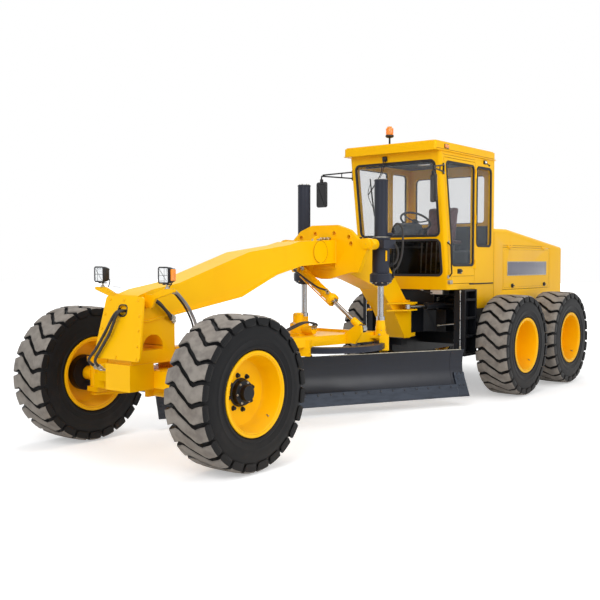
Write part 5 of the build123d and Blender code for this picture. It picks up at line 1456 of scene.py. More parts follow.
def makeWiper():
    piece = Piece("wiper", "rear_frame", "blackPlastic", "black_paint")
    end, top, low = windscreenSpot(-0.417, 2.689, 0.03), windscreenSpot(-0.374, 2.899, 0.022), windscreenSpot(-0.351,
        2.405, 0.022)
    piece.add(loftShape(oblong(-0.16, -0.092, 3.105 * slantStep, 3.17 * slantStep), 0.012,
        [(0, -0.002), (0, 0.018), (-0.006, 0.026)]), "blackPlastic", cabFront)
    piece.lathe(windscreenSpot(-0.126, 3.12, 0.02), (1, 0, -cab["slant"]),
        [(0, 0), (0.016, 0), (0.014, 0.014), (0.006, 0.018), (0, 0.018)], "blackPlastic", 18)
    elbow = windscreenSpot(-0.2, 2.93, 0.042)
    piece.hose([windscreenSpot(-0.126, 3.12, 0.034), windscreenSpot(-0.16, 3.04, 0.04), elbow, end], 0.0065,
        "blackPlastic", 10, 5)
    piece.hose([windscreenSpot(-0.1, 3.12, 0.03), windscreenSpot(-0.14, 3.03, 0.034),
        windscreenSpot(-0.19, 2.92, 0.036), end], 0.004, "blackPlastic", 8, 5)
    # blade with its yoke and rubber lip
    piece.hose([top, top.lerp(low, 0.5) + Vector((0.006, 0, 0)), low], 0.0065, "blackPlastic", 10, 6)
    piece.hose([top + Vector((-0.01, 0, 0)), low + Vector((-0.01, 0, 0))], 0.004, "sealRubber", 6, 4)
    piece.hose([top.lerp(low, 0.12), end.lerp(top.lerp(low, 0.4), 0.0) + Vector((0.004, 0, 0)), top.lerp(low, 0.8)],
        0.004, "blackPlastic", 8, 6)
    piece.close()


def makeRoofTrim():
    piece = Piece("roof_trim", "rear_frame", "bodyYellow", "yellow_paint")
    for _, _, turn in leftRight:
        # drip rail along the roof's lower edge, and the joint line above it, a thin dark line of painted shade
        piece.box((back(5.652), 0.698, 3.188), (back(4.004), 0.7075, 3.2), 0.003, "bodyYellow", turn)
        piece.hose([(back(5.64), 0.7004, 3.212), (back(4.8), 0.7004, 3.212), (back(4.02), 0.7004, 3.212)], 0.003,
            "seamPaintedShade", 6, 3, turn)
        # a second thin dark line of painted shade, lower on the cab's side
        piece.hose([(back(5.05), 0.6904, 3.15), (back(4.6), 0.6904, 3.15), (back(4.2), 0.6904, 3.15)], 0.0025,
            "seamPaintedShade", 6, 3, turn)
        boltsBetween(piece, (back(5.56), 0.66, 3.304), (back(4.1), 0.66, 3.304), 13, (0, 0, 1), "bodyYellow", 0.01,
            0.005, turn)
        # side marker: base, amber glass
        piece.add(loftShape(oblong(4.215, 4.325, 3.222, 3.276), 0.01, [(0, -0.001), (0, 0.004), (-0.004, 0.006)]),
            "blackPlastic", turn @ onLeft(0.7))
        piece.add(loftShape(oblong(4.222, 4.318, 3.228, 3.27), 0.01, [(0, 0.004), (-0.001, 0.012), (-0.006, 0.017)]),
            "amberLens", turn @ onLeft(0.7))
        # small lamp and its cable gland above the rear side window
        piece.add(loftShape(oblong(5.305, 5.38, 3.118, 3.168), 0.012, [(0, -0.001), (0, 0.016), (-0.005, 0.022)]),
            "blackPlastic", turn @ onLeft(cab["half"]))
        piece.add(loftShape(oblong(5.318, 5.367, 3.128, 3.158), 0.008, [(0, 0.02), (-0.004, 0.026)]), "lampLens",
            turn @ onLeft(cab["half"]))
        piece.hose([(back(5.385), cab["half"] + 0.004, 3.14), (back(5.42), cab["half"] + 0.006, 3.13),
            (back(5.47), cab["half"] + 0.005, 3.112)], 0.005, "hoseRubber", 8, 5, turn)
        piece.lathe((back(5.475), cab["half"], 3.112), (0, 1, 0), [(0, 0), (0.012, 0), (0.011, 0.012), (0, 0.014)],
            "blackPlastic", 14, turn)
        # rubbing strip along the cab's foot, and bright feet of the grab rail
        piece.add(loftShape(oblong(4.93, 5.62, 1.489, 1.505), 0.005, [(0, -0.001), (0, 0.008), (-0.004, 0.012)]),
            "sealRubber", turn @ onLeft(cab["half"]))
        for z in (1.6, 2.04):
            piece.lathe((back(4.36), cab["half"], z), (0, 1, 0),
                [(0, 0), (0.024, 0), (0.024, 0.006), (0.014, 0.01), (0, 0.01)], "zincBolt", 20, turn)
        piece.box((back(4.42), cab["half"] - 0.01, 1.505), (back(4.36), cab["half"] + 0.035, 1.555), 0.006,
            "zincBolt", turn)
    # front gutter edge
    piece.box((back(4.008), -0.66, 3.188), (back(3.998), 0.66, 3.198), 0.003)
    piece.close()


def makeInside():
    piece = Piece("cab_lining", "rear_frame", "liningBoardPaintedShade", "black_paint")
    # headliner, walls and front wall are near black: a dark board, darkened further as painted shade inside the cab
    piece.box((back(5.59), -0.64, 3.135), (back(4.19), 0.64, 3.172), 0.01, "liningBoardPaintedShade")
    piece.row(turnedMesh(boltMesh(0.008, 0.003), Matrix.Rotation(math.pi, 4, "X")), 6, (back(5.5), 0.0, 3.135),
        (0.22, 0, 0), "blackPlastic")
    # floor mat, low rear wall, side walls aft of the doors
    piece.box((back(5.58), -0.64, cab["floor"]), (back(4.4), 0.64, cab["floor"] + 0.008), 0.002, "blackPlastic")
    piece.box((back(5.594), -0.64, cab["floor"]), (back(5.57), 0.64, 2.29), 0.006, "liningBoardPaintedShade")
    for _, _, turn in leftRight:
        piece.box((back(5.58), 0.628, cab["floor"]), (back(5.09), 0.6445, 1.99), 0.005, "liningBoardPaintedShade", turn)
        # front wall below the lower windscreen, post covers
        piece.box((back(4.42), 0.08, cab["floor"]), (back(4.385), 0.62, 1.585), 0.008, "liningBoardPaintedShade", turn)
        piece.hose([windscreenSpot(0.632, 3.1, -0.055), windscreenSpot(0.632, 2.6, -0.055),
            windscreenSpot(0.632, 1.62, -0.055)], 0.016, "blackPlastic", 10, 3, turn)
    # heater box and cabinet behind the seat
    piece.box((back(5.56), -0.45, cab["floor"]), (back(5.42), 0.45, 1.95), 0.02, "blackPlastic")
    piece.box((back(5.4), 0.34, cab["floor"]), (back(5.02), 0.6, 1.93), 0.02, "blackPlastic")
    piece.row(boxMesh((-0.004, -0.1, -0.006), (0.004, 0.1, 0.006), 0.002), 8, (back(5.415), 0, 1.62), (0, 0, 0.03),
        "blackPlastic")
    # sun blind and inner lamp
    piece.rod(windscreenSpot(-0.5, 3.04, -0.09), windscreenSpot(0.5, 3.04, -0.09), 0.012, "blackPlastic", 18)
    piece.box((back(4.9) - 0.05, -0.07, 3.115), (back(4.9) + 0.05, 0.07, 3.138), 0.01, "lampLens")
    piece.close()


def boxMesh(low, high, round_=0.004):
    bm = boxShape(low, high, round_)
    bmesh.ops.recalc_face_normals(bm, faces=bm.faces)
    mesh = bpy.data.meshes.new("block")
    bm.to_mesh(mesh)
    bm.free()
    return mesh


console = {"wheelRadius": 0.208, "gripRadius": 0.0145, "wheelAt": (back(4.79), -0.06, 2.35), "tilt": -31.0,
    "lift": 0.13, "aside": -0.06}


def makeConsole():
    piece = Piece("console_and_levers", "rear_frame", "consolePlastic", "console_grey")
    # pedestal, instrument hood and its face towards the seat
    up, aside = console["lift"], console["aside"]
    piece.box((back(4.72), aside - 0.1, cab["floor"]), (back(4.5), aside + 0.1, 1.87 + up), 0.03, "blackPlastic",
        segments=4)
    hoodPlace = Matrix.Translation((0, aside, up)) @ onLeft(0)
    hood = [(4.46, 1.86), (4.475, 2.06), (4.52, 2.16), (4.6, 2.19), (4.7, 2.16), (4.755, 2.03), (4.75, 1.9),
        (4.72, 1.84)]
    piece.add(loftShape(hood, 0.012, [(-0.03, -0.165), (-0.008, -0.158), (0, -0.145), (0, 0.145), (-0.008, 0.158),
        (-0.03, 0.165)]), "consolePlastic", hoodPlace)
    piece.add(loftShape(oblong(4.46, 4.72, 1.845, 1.875), 0.01, [(0, -0.172), (0, 0.172)]), "conduitGrey", hoodPlace)
    dash = planeAt((back(4.742), aside, 2.08 + up), (0, -1, 0), (0.42, 0, 1))
    for y in (-0.09, 0.0, 0.09):
        piece.lathe((y, 0.0, 0.0), (0, 0, 1), [(0.026, 0.0), (0.034, 0.0), (0.034, 0.008), (0.03, 0.01),
            (0.026, 0.008)], "blackPlastic", 24, dash)
        # the dial glasses take the lamp lens finish and glow faintly, painted light
        piece.lathe((y, 0.0, 0.002), (0, 0, 1), [(0, 0), (0.027, 0), (0.027, 0.003), (0, 0.003)], "lampLens", 24,
            dash)
    piece.row(boxMesh((-0.008, -0.005, 0), (0.008, 0.005, 0.008), 0.002), 7, (-0.1, -0.07, 0), (0.033, 0, 0),
        "blackPlastic", dash)
    # steering wheel: grip, three spokes, boss, column
    tilt = Matrix.Translation(console["wheelAt"]) @ Matrix.Rotation(math.radians(console["tilt"]), 4, "Y")
    reach, grip = console["wheelRadius"], console["gripRadius"]
    section = [(reach + grip * math.cos(math.tau * n / 12), grip * math.sin(math.tau * n / 12)) for n in range(12)]
    piece.lathe((0, 0, 0), (0, 0, 1), section, "blackPlastic", 64, tilt)
    piece.lathe((0, 0, 0), (0, 0, 1), [(0, -0.045), (0.035, -0.045), (0.045, -0.02), (0.05, -0.005), (0.04, 0.004),
        (0, 0.008)], "blackPlastic", 32, tilt)
    for turn in (0, 120, 240):
        piece.hose([(0.03, 0, -0.015), (0.1, 0, -0.02), (0.17, 0, -0.008), (reach, 0, 0)], 0.009, "blackPlastic", 10,
            5, tilt @ Matrix.Rotation(math.radians(turn + 90), 4, "Z"))
    piece.rod(tilt @ Vector((0, 0, -0.03)), (back(4.66), aside, 1.95 + up), 0.026, "blackPlastic", 20)
    # two banks of levers with bellows and knobs
    for _, _, turn in leftRight:
        piece.box((back(4.595), 0.125, cab["floor"]), (back(4.475), 0.565, 1.61), 0.015, "blackPlastic", turn, 3)
        for n in range(5):
            y = 0.18 + n * 0.075
            foot, tip = Vector((back(4.53), y, 1.6)), Vector((back(4.562), y, 2.06))
            piece.lathe(foot, tip - foot, [(0.012, -0.01), (0.026, 0.0), (0.022, 0.008), (0.024, 0.014),
                (0.019, 0.022), (0.021, 0.028), (0.015, 0.036), (0.0078, 0.042), (0.0078, -0.01)], "sealRubber", 14,
                turn)
            piece.rod(foot, tip, 0.0088, "leverEnamel", 12, place=turn)
            piece.lathe(tip - Vector((0, 0, 0.012)), tip - foot, [(0, 0), (0.012, 0), (0.018, 0.012), (0.0195, 0.028),
                (0.015, 0.044), (0, 0.05)], "blackPlastic", 18, turn)
    # pedals
    for y in (-0.3, -0.17, 0.2):
        piece.hose([(back(4.52), y, 1.62), (back(4.58), y, 1.6), (back(4.63), y, 1.56)], 0.009, "chassisBlack", 8, 4)
        piece.box((-0.04, -0.035, -0.006), (0.04, 0.035, 0.006), 0.004, "blackPlastic",
                  Matrix.Translation((back(4.64), y, 1.57)) @ Matrix.Rotation(math.radians(50), 4, "Y"))
    # side console, right of the seat, with a row of small blocks on top
    piece.box((back(5.3), -0.62, cab["floor"]), (back(4.84), -0.4, 1.9), 0.025, "consolePlastic", segments=3)
    piece.row(boxMesh((-0.014, -0.022, 0), (0.014, 0.022, 0.012), 0.003), 6, (back(5.22), -0.51, 1.898), (0.06, 0, 0),
        "blackPlastic")
    piece.close(["steering_console"])


seatSize = {"voxel": 0.0055, "quickVoxel": 0.012, "pressure": 4.0, "quality": 5, "frames": 20, "cap": 0.014}


def puffed(bm, name):
    mesh = bpy.data.meshes.new(name)
    bmesh.ops.recalc_face_normals(bm, faces=bm.faces)
    bm.to_mesh(mesh)
    bm.free()
    holder = bpy.data.objects.new(name, mesh)
    scene.collection.objects.link(holder)
    remesh = holder.modifiers.new("even", "REMESH")
    remesh.mode, remesh.voxel_size = "VOXEL", seatSize["voxel"]
    plain = bpy.data.meshes.new_from_object(holder.evaluated_get(bpy.context.evaluated_depsgraph_get()))
    holder.modifiers.clear()
    holder.data = plain
    start = [v.co.copy() for v in plain.vertices]
    cloth = holder.modifiers.new("pad", "CLOTH")
    cloth.settings.use_pressure = True
    cloth.settings.uniform_pressure_force = seatSize["pressure"]
    cloth.settings.effector_weights.gravity = 0
    cloth.settings.quality = seatSize["quality"]
    for frameNumber in range(1, seatSize["frames"] + 1):
        scene.frame_set(frameNumber)
    swollen = bpy.data.meshes.new_from_object(holder.evaluated_get(bpy.context.evaluated_depsgraph_get()))
    holder.modifiers.clear()
    for vertex, first in zip(swollen.vertices, start):
        move = vertex.co - first
        if move.length > seatSize["cap"]:
            vertex.co = first + move.normalized() * seatSize["cap"]
    holder.data = swollen
    scene.frame_set(1)
    made = holder.data
    bpy.data.objects.remove(holder)
    return made


def sewn(mesh, lines, depth=0.006, width=0.012):
    # presses sewn channels into the pad, lines columns: axis number, place
    for vertex in mesh.vertices:
        for axis, place in lines:
            near = abs(vertex.co[axis] - place)
            if near < width:
                vertex.co -= vertex.normal * depth * (1 - (near / width) ** 2)
    return mesh


padShape = {"round": 0.045, "halfWidth": 0.25, "crown": 0.012, "bolster": 0.014, "wrap": 0.02}
# columns: name, low, high, crowned on top, lean for one of height, sewn lines
seatPads = [("cushion", (back(5.39), -0.238, 1.795), (back(4.915), 0.238, 1.888), True, 0.0,
             [(1, -0.15), (1, 0.15), (0, back(5.05))]),
            ("back_rest", (back(5.405), -0.225, 1.92), (back(5.29), 0.225, 2.56), False, 0.19,
             [(1, -0.13), (1, 0.13), (2, 2.32)])]


def makeSeat():
    # padded cushion and back, each its own swollen form, with sewn channels pressed in
    def shaped(low, high, crown, bend):
        bm = boxShape(low, high, padShape["round"], 5)
        bmesh.ops.subdivide_edges(bm, edges=bm.edges[:], cuts=3, use_grid_fill=True)
        middle = (Vector(low) + Vector(high)) / 2
        for v in bm.verts:
            across = min(abs(v.co.y - middle.y) / padShape["halfWidth"], 1)
            if crown:
                v.co.z += padShape["crown"] * (1 - across ** 2) if v.co.z > middle.z else 0
                v.co.z += padShape["bolster"] * across ** 4 if v.co.z > middle.z else 0
            else:
                v.co.x += padShape["wrap"] * (across ** 3) if v.co.x > middle.x else 0
                v.co.x -= bend * (v.co.z - low[2])
        return bm
    finish = finishes["seatVinyl"]
    pads = []
    for name, low, high, crown, bend, lines in seatPads:
        mesh = sewn(puffed(shaped(low, high, crown, bend), name), lines)
        mesh.materials.clear()
        mesh.materials.append(finish)
        smoothMesh(mesh, 60)
        pad = bpy.data.objects.new("seat_" + name, mesh)
        scene.collection.objects.link(pad)
        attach(pad, "rear_frame")
        pads.append(pad)
    frame_ = Piece("seat_frame", "rear_frame", "blackPlastic", "black_paint")
    frame_.box((back(5.36), -0.165, cab["floor"]), (back(5.0), 0.165, 1.53), 0.01, "chassisBlack")
    # folding bellows of the suspension
    folds = [(0.012 if n % 2 else -0.006, n * 0.024) for n in range(10)]
    frame_.add(loftShape(oblong(-5.34 + noseAxle + 0.0, -5.02 + noseAxle, -0.15, 0.15), 0.04, folds), "sealRubber",
        onTop(1.53))
    frame_.box((back(5.385), -0.235, 1.755), (back(4.925), 0.235, 1.79), 0.012, "chassisBlack")
    for side in (1, -1):
        frame_.hose([(back(5.37), side * 0.265, 1.8), (back(5.42), side * 0.27, 1.95),
            (back(5.41), side * 0.275, 2.05)], 0.014, "chassisBlack", 12, 5)
        frame_.box((back(5.4), side * 0.29 - 0.033, 2.04), (back(5.07), side * 0.29 + 0.033, 2.088), 0.02,
            "seatVinyl", segments=4)
    # lap belt
    for side in (1, -1):
        frame_.box((back(5.3), side * 0.243 - 0.002, 1.79), (back(5.25), side * 0.243 + 0.002, 1.93), 0.001,
            "sealRubber")
        frame_.box((back(5.305), side * 0.243 - 0.006, 1.925), (back(5.245), side * 0.243 + 0.006, 1.99), 0.004,
            "blackPlastic")
    frame_.close(["seat"])


mirrorTurn = {"left": -42, "right": 6}


def makeMirrors():
    piece = Piece("wing_mirrors", "rear_frame", "blackPlastic", "black_paint")
    for name, _, turn in leftRight:
        swing = Matrix.Translation((back(3.697), 0.845, 0)) @ Matrix.Rotation(math.radians(mirrorTurn[name]), 4, "Z")
        swing = swing @ Matrix.Translation((-back(3.697), -0.845, 0))
        head = turn @ swing @ planeAt((back(3.715), 0, 0), (0, 1, 0), (0, 0, 1))
        piece.add(loftShape(oblong(0.752, 0.938, 2.512, 2.848), 0.03, [(-0.006, 0.0), (0, 0.004), (0, 0.016),
            (-0.006, 0.027), (-0.02, 0.0335), (-0.03, 0.0355), (-0.036, 0.0355)], 6), "blackPlastic", head)
        glass = turn @ swing @ planeAt((back(3.7155), 0, 0), (0, -1, 0), (0, 0, 1))
        piece.add(loftShape(oblong(-0.93, -0.76, 2.52, 2.84), 0.025, [(0, -0.002), (0, 0.001), (-0.003, 0.002)],
            6), "mirrorSilver", glass)
        # arms, their clamp on the head and the bracket on the post
        for first, last in (((back(4.205), 0.7, 2.925), (back(3.7), 0.845, 2.925)),
                ((back(4.205), 0.7, 3.01), (back(3.712), 0.836, 2.94))):
            piece.hose([first, Vector(first).lerp(Vector(last), 0.5), last], 0.0095, "chassisBlack", 12, 3, turn)
        piece.hose([(back(3.7), 0.845, 2.93), (back(3.694), 0.846, 2.88), (back(3.696), 0.846, 2.8)], 0.0095,
            "chassisBlack", 12, 5, turn)
        piece.rod((back(4.02), 0.752, 2.925), (back(4.02), 0.752, 2.978), 0.007, "chassisBlack", 10, place=turn)
        piece.box((back(3.712), 0.826, 2.84), (back(3.68), 0.864, 2.885), 0.006, "blackPlastic", turn)
        piece.box((back(4.216), cab["half"] - 0.001, 2.895), (back(4.192), cab["half"] + 0.0185, 3.035), 0.004,
            "chassisBlack", turn)
        for z in (2.912, 3.02):
            boltAt(piece, (back(4.204), cab["half"] + 0.018, z), (0, 1, 0), "zincBolt", 0.007, 0.005, turn)
    piece.close(["mirrors"])


def makeBeacon():
    piece = Piece("beacon", "rear_frame", "blackPlastic", "beacon_amber")
    x, y = back(4.3), -0.17
    piece.lathe((x, y, 3.302), (0, 0, 1), [(0, 0), (0.034, 0), (0.034, 0.008), (0.02, 0.014), (0.0125, 0.02),
        (0.0125, 0.136), (0.0, 0.136)], "chassisBlack", 24)
    piece.lathe((x, y, 3.436), (0, 0, 1), [(0, 0), (0.03, 0), (0.05, 0.008), (0.0555, 0.014), (0.0555, 0.032),
        (0.05, 0.036), (0, 0.036)], "blackPlastic", 36)
    dome = [(0, 0.034), (0.0455, 0.034), (0.048, 0.04), (0.0475, 0.085), (0.046, 0.112), (0.041, 0.134),
        (0.03, 0.149), (0.014, 0.156), (0, 0.157)]
    piece.lathe((x, y, 3.436), (0, 0, 1), dome, "amberLens", 36)
    piece.ring(boxMesh((0.0465, -0.002, 0.05), (0.0495, 0.002, 0.135), 0.0008), 18, (x, y, 3.425), (0, 0, 1), 0.0,
        "amberLens")
    # work lamp under the cab's floor, with its bracket
    lampFace = onFront(back(4.7))
    piece.add(loftShape(oblong(0.245, 0.445, 1.35, 1.424), 0.014,
        [(-0.01, -0.15), (0, -0.13), (0, 0.03), (-0.004, 0.034)]), "castGrey", lampFace)
    piece.add(loftShape(oblong(0.252, 0.438, 1.357, 1.417), 0.012, [(0, 0.03), (-0.004, 0.038), (-0.012, 0.041)]),
        "lampLens", lampFace)
    piece.box((back(4.98), 0.36, 1.395), (back(4.84), 0.42, 1.428), 0.004, "chassisBlack")
    piece.close(["beacon_and_lamp"])


makeSeals()
makeWiper()
makeRoofTrim()
makeInside()
makeConsole()
makeSeat()
makeMirrors()
makeBeacon()
print("cab dressed")


# ---- hood, its doors and the rear frame
rearFace = -4.367
hood = {"side": 0.69}


def makeHoodParts():
    plate = planeAt((noseAxle, hood["side"], 0), (-1, 0, 0), (0, 0, 1))
    for name, _, turn in leftRight:
        door = Piece("hood_door_trim_" + name, "hood_door_" + name, "plateSlate", "yellow_paint")
        # blank name plate with its rivets and raised rim
        corners = oblong(6.08, 7.46, 1.59, 1.796)
        door.add(loftShape(corners, 0.012, [(0, -0.001), (0, 0.003), (-0.002, 0.0042)]), "plateSlate", turn @ plate)
        door.seal(corners, 0.012, [(0.001, 0.0), (0.001, 0.0055), (-0.003, 0.0068), (-0.009, 0.0055),
            (-0.009, 0.003)], turn @ plate, "zincBolt")
        rivets = [(distance, height) for distance in (6.1, 6.44, 6.77, 7.1, 7.44) for height in (1.606, 1.78)]
        for distance, height in rivets:
            door.lathe((back(distance), hood["side"] + 0.004, height), (0, 1, 0),
                [(0, 0), (0.006, 0), (0.005, 0.002), (0, 0.003)], "zincBolt", 10, turn)
        for distance in (6.239, 7.376):
            # turned T latch on its round seat
            where = (back(distance), hood["side"], 1.446)
            door.lathe(where, (0, 1, 0), [(0, 0), (0.03, 0), (0.03, 0.003), (0.022, 0.006), (0.014, 0.007),
                (0.012, 0.018), (0, 0.02)], "chassisBlack", 28, turn)
            door.box((where[0] - 0.05, where[1] + 0.014, where[2] - 0.009),
                (where[0] + 0.014, where[1] + 0.024, where[2] + 0.009), 0.004, "chassisBlack", turn)
            door.box((where[0] - 0.009, where[1] + 0.014, where[2] - 0.034),
                (where[0] + 0.009, where[1] + 0.024, where[2] + 0.034), 0.004, "chassisBlack", turn)
        # pressed fold round the leaf's rim, a thin dark line of painted shade, and its stiffener inside
        door.seal(oblong(5.965, 7.565, 1.425, 1.965), 0.03, [(0.0015, -0.0008), (0.0, 0.0012), (-0.0015, -0.0008)],
            turn @ plate, "seamPaintedShade")
        door.box((back(7.5), hood["side"] - 0.042, 1.68), (back(6.05), hood["side"] - 0.0305, 1.72), 0.003,
            "bodyYellow", turn)
        door.close()
    piece = Piece("hood_trim", "rear_frame", "bodyYellow", "yellow_paint")
    for _, _, turn in leftRight:
        # open joint above the doors, in two runs, drawn as thin dark lines of painted shade
        for first, last in ((5.95, 6.19), (6.25, 7.36)):
            piece.hose([(back(first), hood["side"] + 0.0004, 2.0275),
                (back((first + last) / 2), hood["side"] + 0.0004, 2.0275),
                (back(last), hood["side"] + 0.0004, 2.0275)], 0.0032, "seamPaintedShade", 6, 3, turn)
        # upright joint between cab and hood, a thin dark line of painted shade, and the fold of the lower edge
        piece.hose([(back(5.648), hood["side"] + 0.0004, 2.2), (back(5.648), hood["side"] + 0.0004, 1.7),
            (back(5.648), hood["side"] + 0.0004, 1.17)], 0.0018, "seamPaintedShade", 6, 3, turn)
        boltsBetween(piece, (back(5.8), hood["side"], 1.185), (back(7.9), hood["side"], 1.185), 9, (0, 1, 0),
            "bodyYellow", 0.009, 0.005, turn)
        # lifting eye on the shoulder
        piece.lathe((back(6.4), 0.45, 2.172), (0, 0, 1),
            [(0, 0), (0.03, 0), (0.03, 0.006), (0.016, 0.012), (0, 0.012)], "bodyYellow", 20, turn)
    # top seam, a thin dark line of painted shade, filler cap and breather
    piece.hose([(back(5.66), 0.0, 2.2602), (back(5.9), 0.0, 2.2602), (back(6.08), 0.0, 2.2602)], 0.003, "seamPaintedShade",
        6, 3)
    slope = (2.26 - 2.03) / (8.05 - 6.09)

    def top(distance):
        return 2.26 - max(distance - 6.09, 0) * slope
    # the sloping part of the top seam, also a thin dark line of painted shade
    piece.hose([(back(6.1), 0.0, top(6.1) + 0.0003), (back(7.0), 0.0, top(7.0) + 0.0003),
        (back(8.02), 0.0, top(8.02) + 0.0003)], 0.003, "seamPaintedShade", 6, 3)
    for distance, y, radius, tall in ((7.55, 0.22, 0.05, 0.02), (7.1, -0.3, 0.032, 0.02)):
        piece.lathe((back(distance), y, top(distance) - 0.004), (slope, 0, 1), [(0, 0), (radius * 1.25, 0),
            (radius * 1.25, 0.008), (radius, 0.012), (radius, tall), (radius * 0.8, tall + 0.008), (0, tall + 0.01)],
            "bodyYellow", 32)
    for spot in ((5.68, 0.55), (5.68, -0.55), (7.95, 0.55), (7.95, -0.55)):
        boltAt(piece, (back(spot[0]), spot[1], top(spot[0])), (slope if spot[0] > 6.09 else 0, 0, 1), "zincBolt",
            0.012, 0.008)
    piece.close()


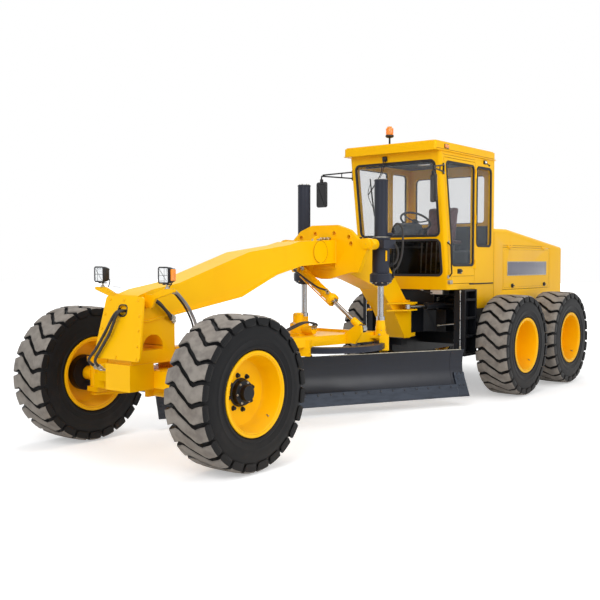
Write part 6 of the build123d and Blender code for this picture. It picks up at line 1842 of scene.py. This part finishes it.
def makeRearFrameParts():
    piece = Piece("rear_frame_trim", "rear_frame", "chassisBlack", "black_paint")
    for _, _, turn in leftRight:
        # closed black box face behind the steps, with its rolled top, and a thin chrome tube down the front stringer
        piece.box((back(4.905), 0.642, 0.6), (back(4.645), 0.7, 1.405), 0.02, "chassisBlack", turn, 3)
        piece.box((back(4.945), 0.655, 1.398), (back(4.605), 0.79, 1.428), 0.012, "chassisBlack", turn, 3)
        fitHose(piece, [(back(4.6), 0.735, 1.415), (back(4.6025), 0.735, 1.2), (back(4.6025), 0.735, 0.9),
            (back(4.6025), 0.737, 0.66)], 0.0075, "rodChrome", place=turn)
        for z in (0.78, 1.03, 1.28):
            piece.box((back(4.612), 0.722, z - 0.008), (back(4.594), 0.748, z + 0.008), 0.003, "chassisBlack", turn)
        # raised studs on the treads
        stud = boxMesh((-0.006, -0.004, 0), (0.006, 0.004, 0.0035), 0.001)
        for level in (0.585, 0.825, 1.065, 1.305):
            for y in (0.665, 0.7, 0.735, 0.77):
                piece.row(stud.copy(), 13, (back(4.89), y, level - 0.0005), (0.02, 0, 0), "chassisBlack", turn)
        # tank straps and filler
        for z in (0.72, 1.0):
            piece.box((back(5.186), 0.414, z - 0.02), (back(5.014), 0.686, z + 0.02), 0.004, "castGrey", turn)
        piece.lathe((back(5.1), 0.55, 1.118), (0, 0, 1), [(0, 0), (0.045, 0), (0.045, 0.012), (0.05, 0.014),
            (0.05, 0.034), (0.04, 0.038), (0, 0.038)], "castGrey", 28, turn)
        # thin pipes along the frame's front
        fitHose(piece, [(back(4.781), 0.3, 0.935), (back(4.781), 0.42, 0.95), (back(4.781), 0.55, 0.965),
            (back(4.781), 0.636, 0.975)], 0.009, "rodChrome", place=turn)
        fitHose(piece, [(back(5.02), 0.44, 1.33), (back(4.9), 0.42, 1.345), (back(4.74), 0.34, 1.365),
            (back(4.62), 0.25, 1.385), (back(4.5), 0.2, 1.429)], 0.01, "hoseRubber", place=turn)
        # feed hoses for the articulation cylinder
        for shift in (0.0, 0.03):
            fitHose(piece, [(back(5.015), 0.46 + shift, 1.36), (back(4.95), 0.4 + shift, 1.355),
                (back(4.88), 0.32, 1.33 - shift), (back(4.8), 0.275, 1.3 - shift)], 0.009, place=turn)
        # tandem case: bolted covers over both chains and a long weld
        for x in (back(6.216) - 0.33, back(6.216) + 0.33):
            cover = planeAt((0, 0.83, 0), (-1, 0, 0), (0, 0, 1))
            piece.add(loftShape(oblong(-x - 0.13, -x + 0.13, 0.56, 0.76), 0.05,
                [(0, -0.001), (0, 0.006), (-0.004, 0.009)]), "chassisBlack", turn @ cover)
            for dx in (-0.1, 0, 0.1):
                for z in (0.58, 0.74):
                    boltAt(piece, (x + dx, 0.838, z), (0, 1, 0), "zincBolt", 0.009, 0.006, turn)
        piece.hose([(back(6.216) + 0.98, 0.8305, 0.8), (back(6.216) + 0.845, 0.8305, 0.875),
            (back(6.216), 0.8305, 0.876), (back(6.216) - 0.845, 0.8305, 0.875), (back(6.216) - 0.98, 0.8305, 0.8)],
            0.005, "chassisBlack", 6, 3, turn)
        # rear lamps on the bumper, red beside amber
        for y, lens in ((0.52, "redLens"), (0.4, "amberLens")):
            spot = turn @ planeAt((rearFace, y, 0), (0, -1, 0), (0, 0, 1))
            piece.add(loftShape(oblong(-0.052, 0.052, 1.06, 1.12), 0.014, [(0, -0.001), (0, 0.012), (-0.004, 0.016)]),
                "blackPlastic", spot)
            piece.add(loftShape(oblong(-0.045, 0.045, 1.067, 1.113), 0.011,
                [(0, 0.014), (-0.001, 0.02), (-0.008, 0.025)]), lens, spot)
        boltsBetween(piece, (rearFace, 0.3, 0.86), (rearFace, 0.56, 0.86), 3, (-1, 0, 0), "zincBolt", 0.016, 0.012,
            turn)
        boltsBetween(piece, (rearFace, 0.12, 0.86), (rearFace, 0.12, 1.09), 3, (-1, 0, 0), "zincBolt", 0.016, 0.012,
            turn)
    # shielded cable tray under the cab
    piece.row(boxMesh((-0.02, -0.22, 0), (0.02, 0.22, 0.02), 0.006), 4, (back(4.99), 0, 1.135), (0.05, 0, 0.0),
        "castGrey")
    piece.close()


def makeEngineParts():
    piece = Piece("engine_parts", "rear_frame", "castGrey", "engine_grey")
    # covers, manifold, filters and pulleys, seen when the hood's doors are open
    piece.box((back(7.35), -0.17, 1.945), (back(6.2), 0.17, 2.02), 0.02, "chassisBlack", segments=3)
    for side in (1, -1):
        for n in range(6):
            x = back(6.3 + n * 0.19)
            piece.rod((x, side * 0.345, 1.8), (x, side * 0.42, 1.8), 0.03, "castGrey", 16)
            boltAt(piece, (x, side * 0.35, 1.62), (0, side, 0), "zincBolt", 0.012, 0.01)
            boltAt(piece, (x + 0.05, side * 0.35, 1.4), (0, side, 0), "zincBolt", 0.012, 0.01)
        piece.rod((back(7.35), side * 0.43, 1.8), (back(6.2), side * 0.43, 1.8), 0.038, "castGrey", 20)
        for n, (radius, tall) in enumerate(((0.055, 0.2), (0.055, 0.2), (0.07, 0.26))):
            x = back(6.5 + n * 0.2)
            piece.lathe((x, side * 0.43, 1.68 - tall), (0, 0, 1), [(0, 0), (radius * 0.8, 0), (radius, 0.015),
                (radius, tall - 0.03), (radius * 1.06, tall - 0.028), (radius * 1.06, tall - 0.006), (0, tall)],
                "bodyYellow" if n == 2 else "blackPlastic", 28)
            piece.box((x - 0.03, side * 0.34 if side > 0 else -0.44, 1.66),
                (x + 0.03, 0.44 if side > 0 else -0.34, 1.7), 0.006, "castGrey")
    for y, z, radius in ((0, 1.75, 0.13), (0.24, 1.6, 0.07), (-0.22, 1.85, 0.06)):
        piece.lathe((back(7.5), y, z), (-1, 0, 0), [(0, 0), (radius, 0), (radius, 0.008), (radius * 0.9, 0.02),
            (radius, 0.032), (radius, 0.04), (0.02, 0.04), (0.02, 0.055), (0, 0.055)], "chassisBlack", 36)
    piece.close()


makeHoodParts()
makeRearFrameParts()
makeEngineParts()
print("hood and rear frame dressed")
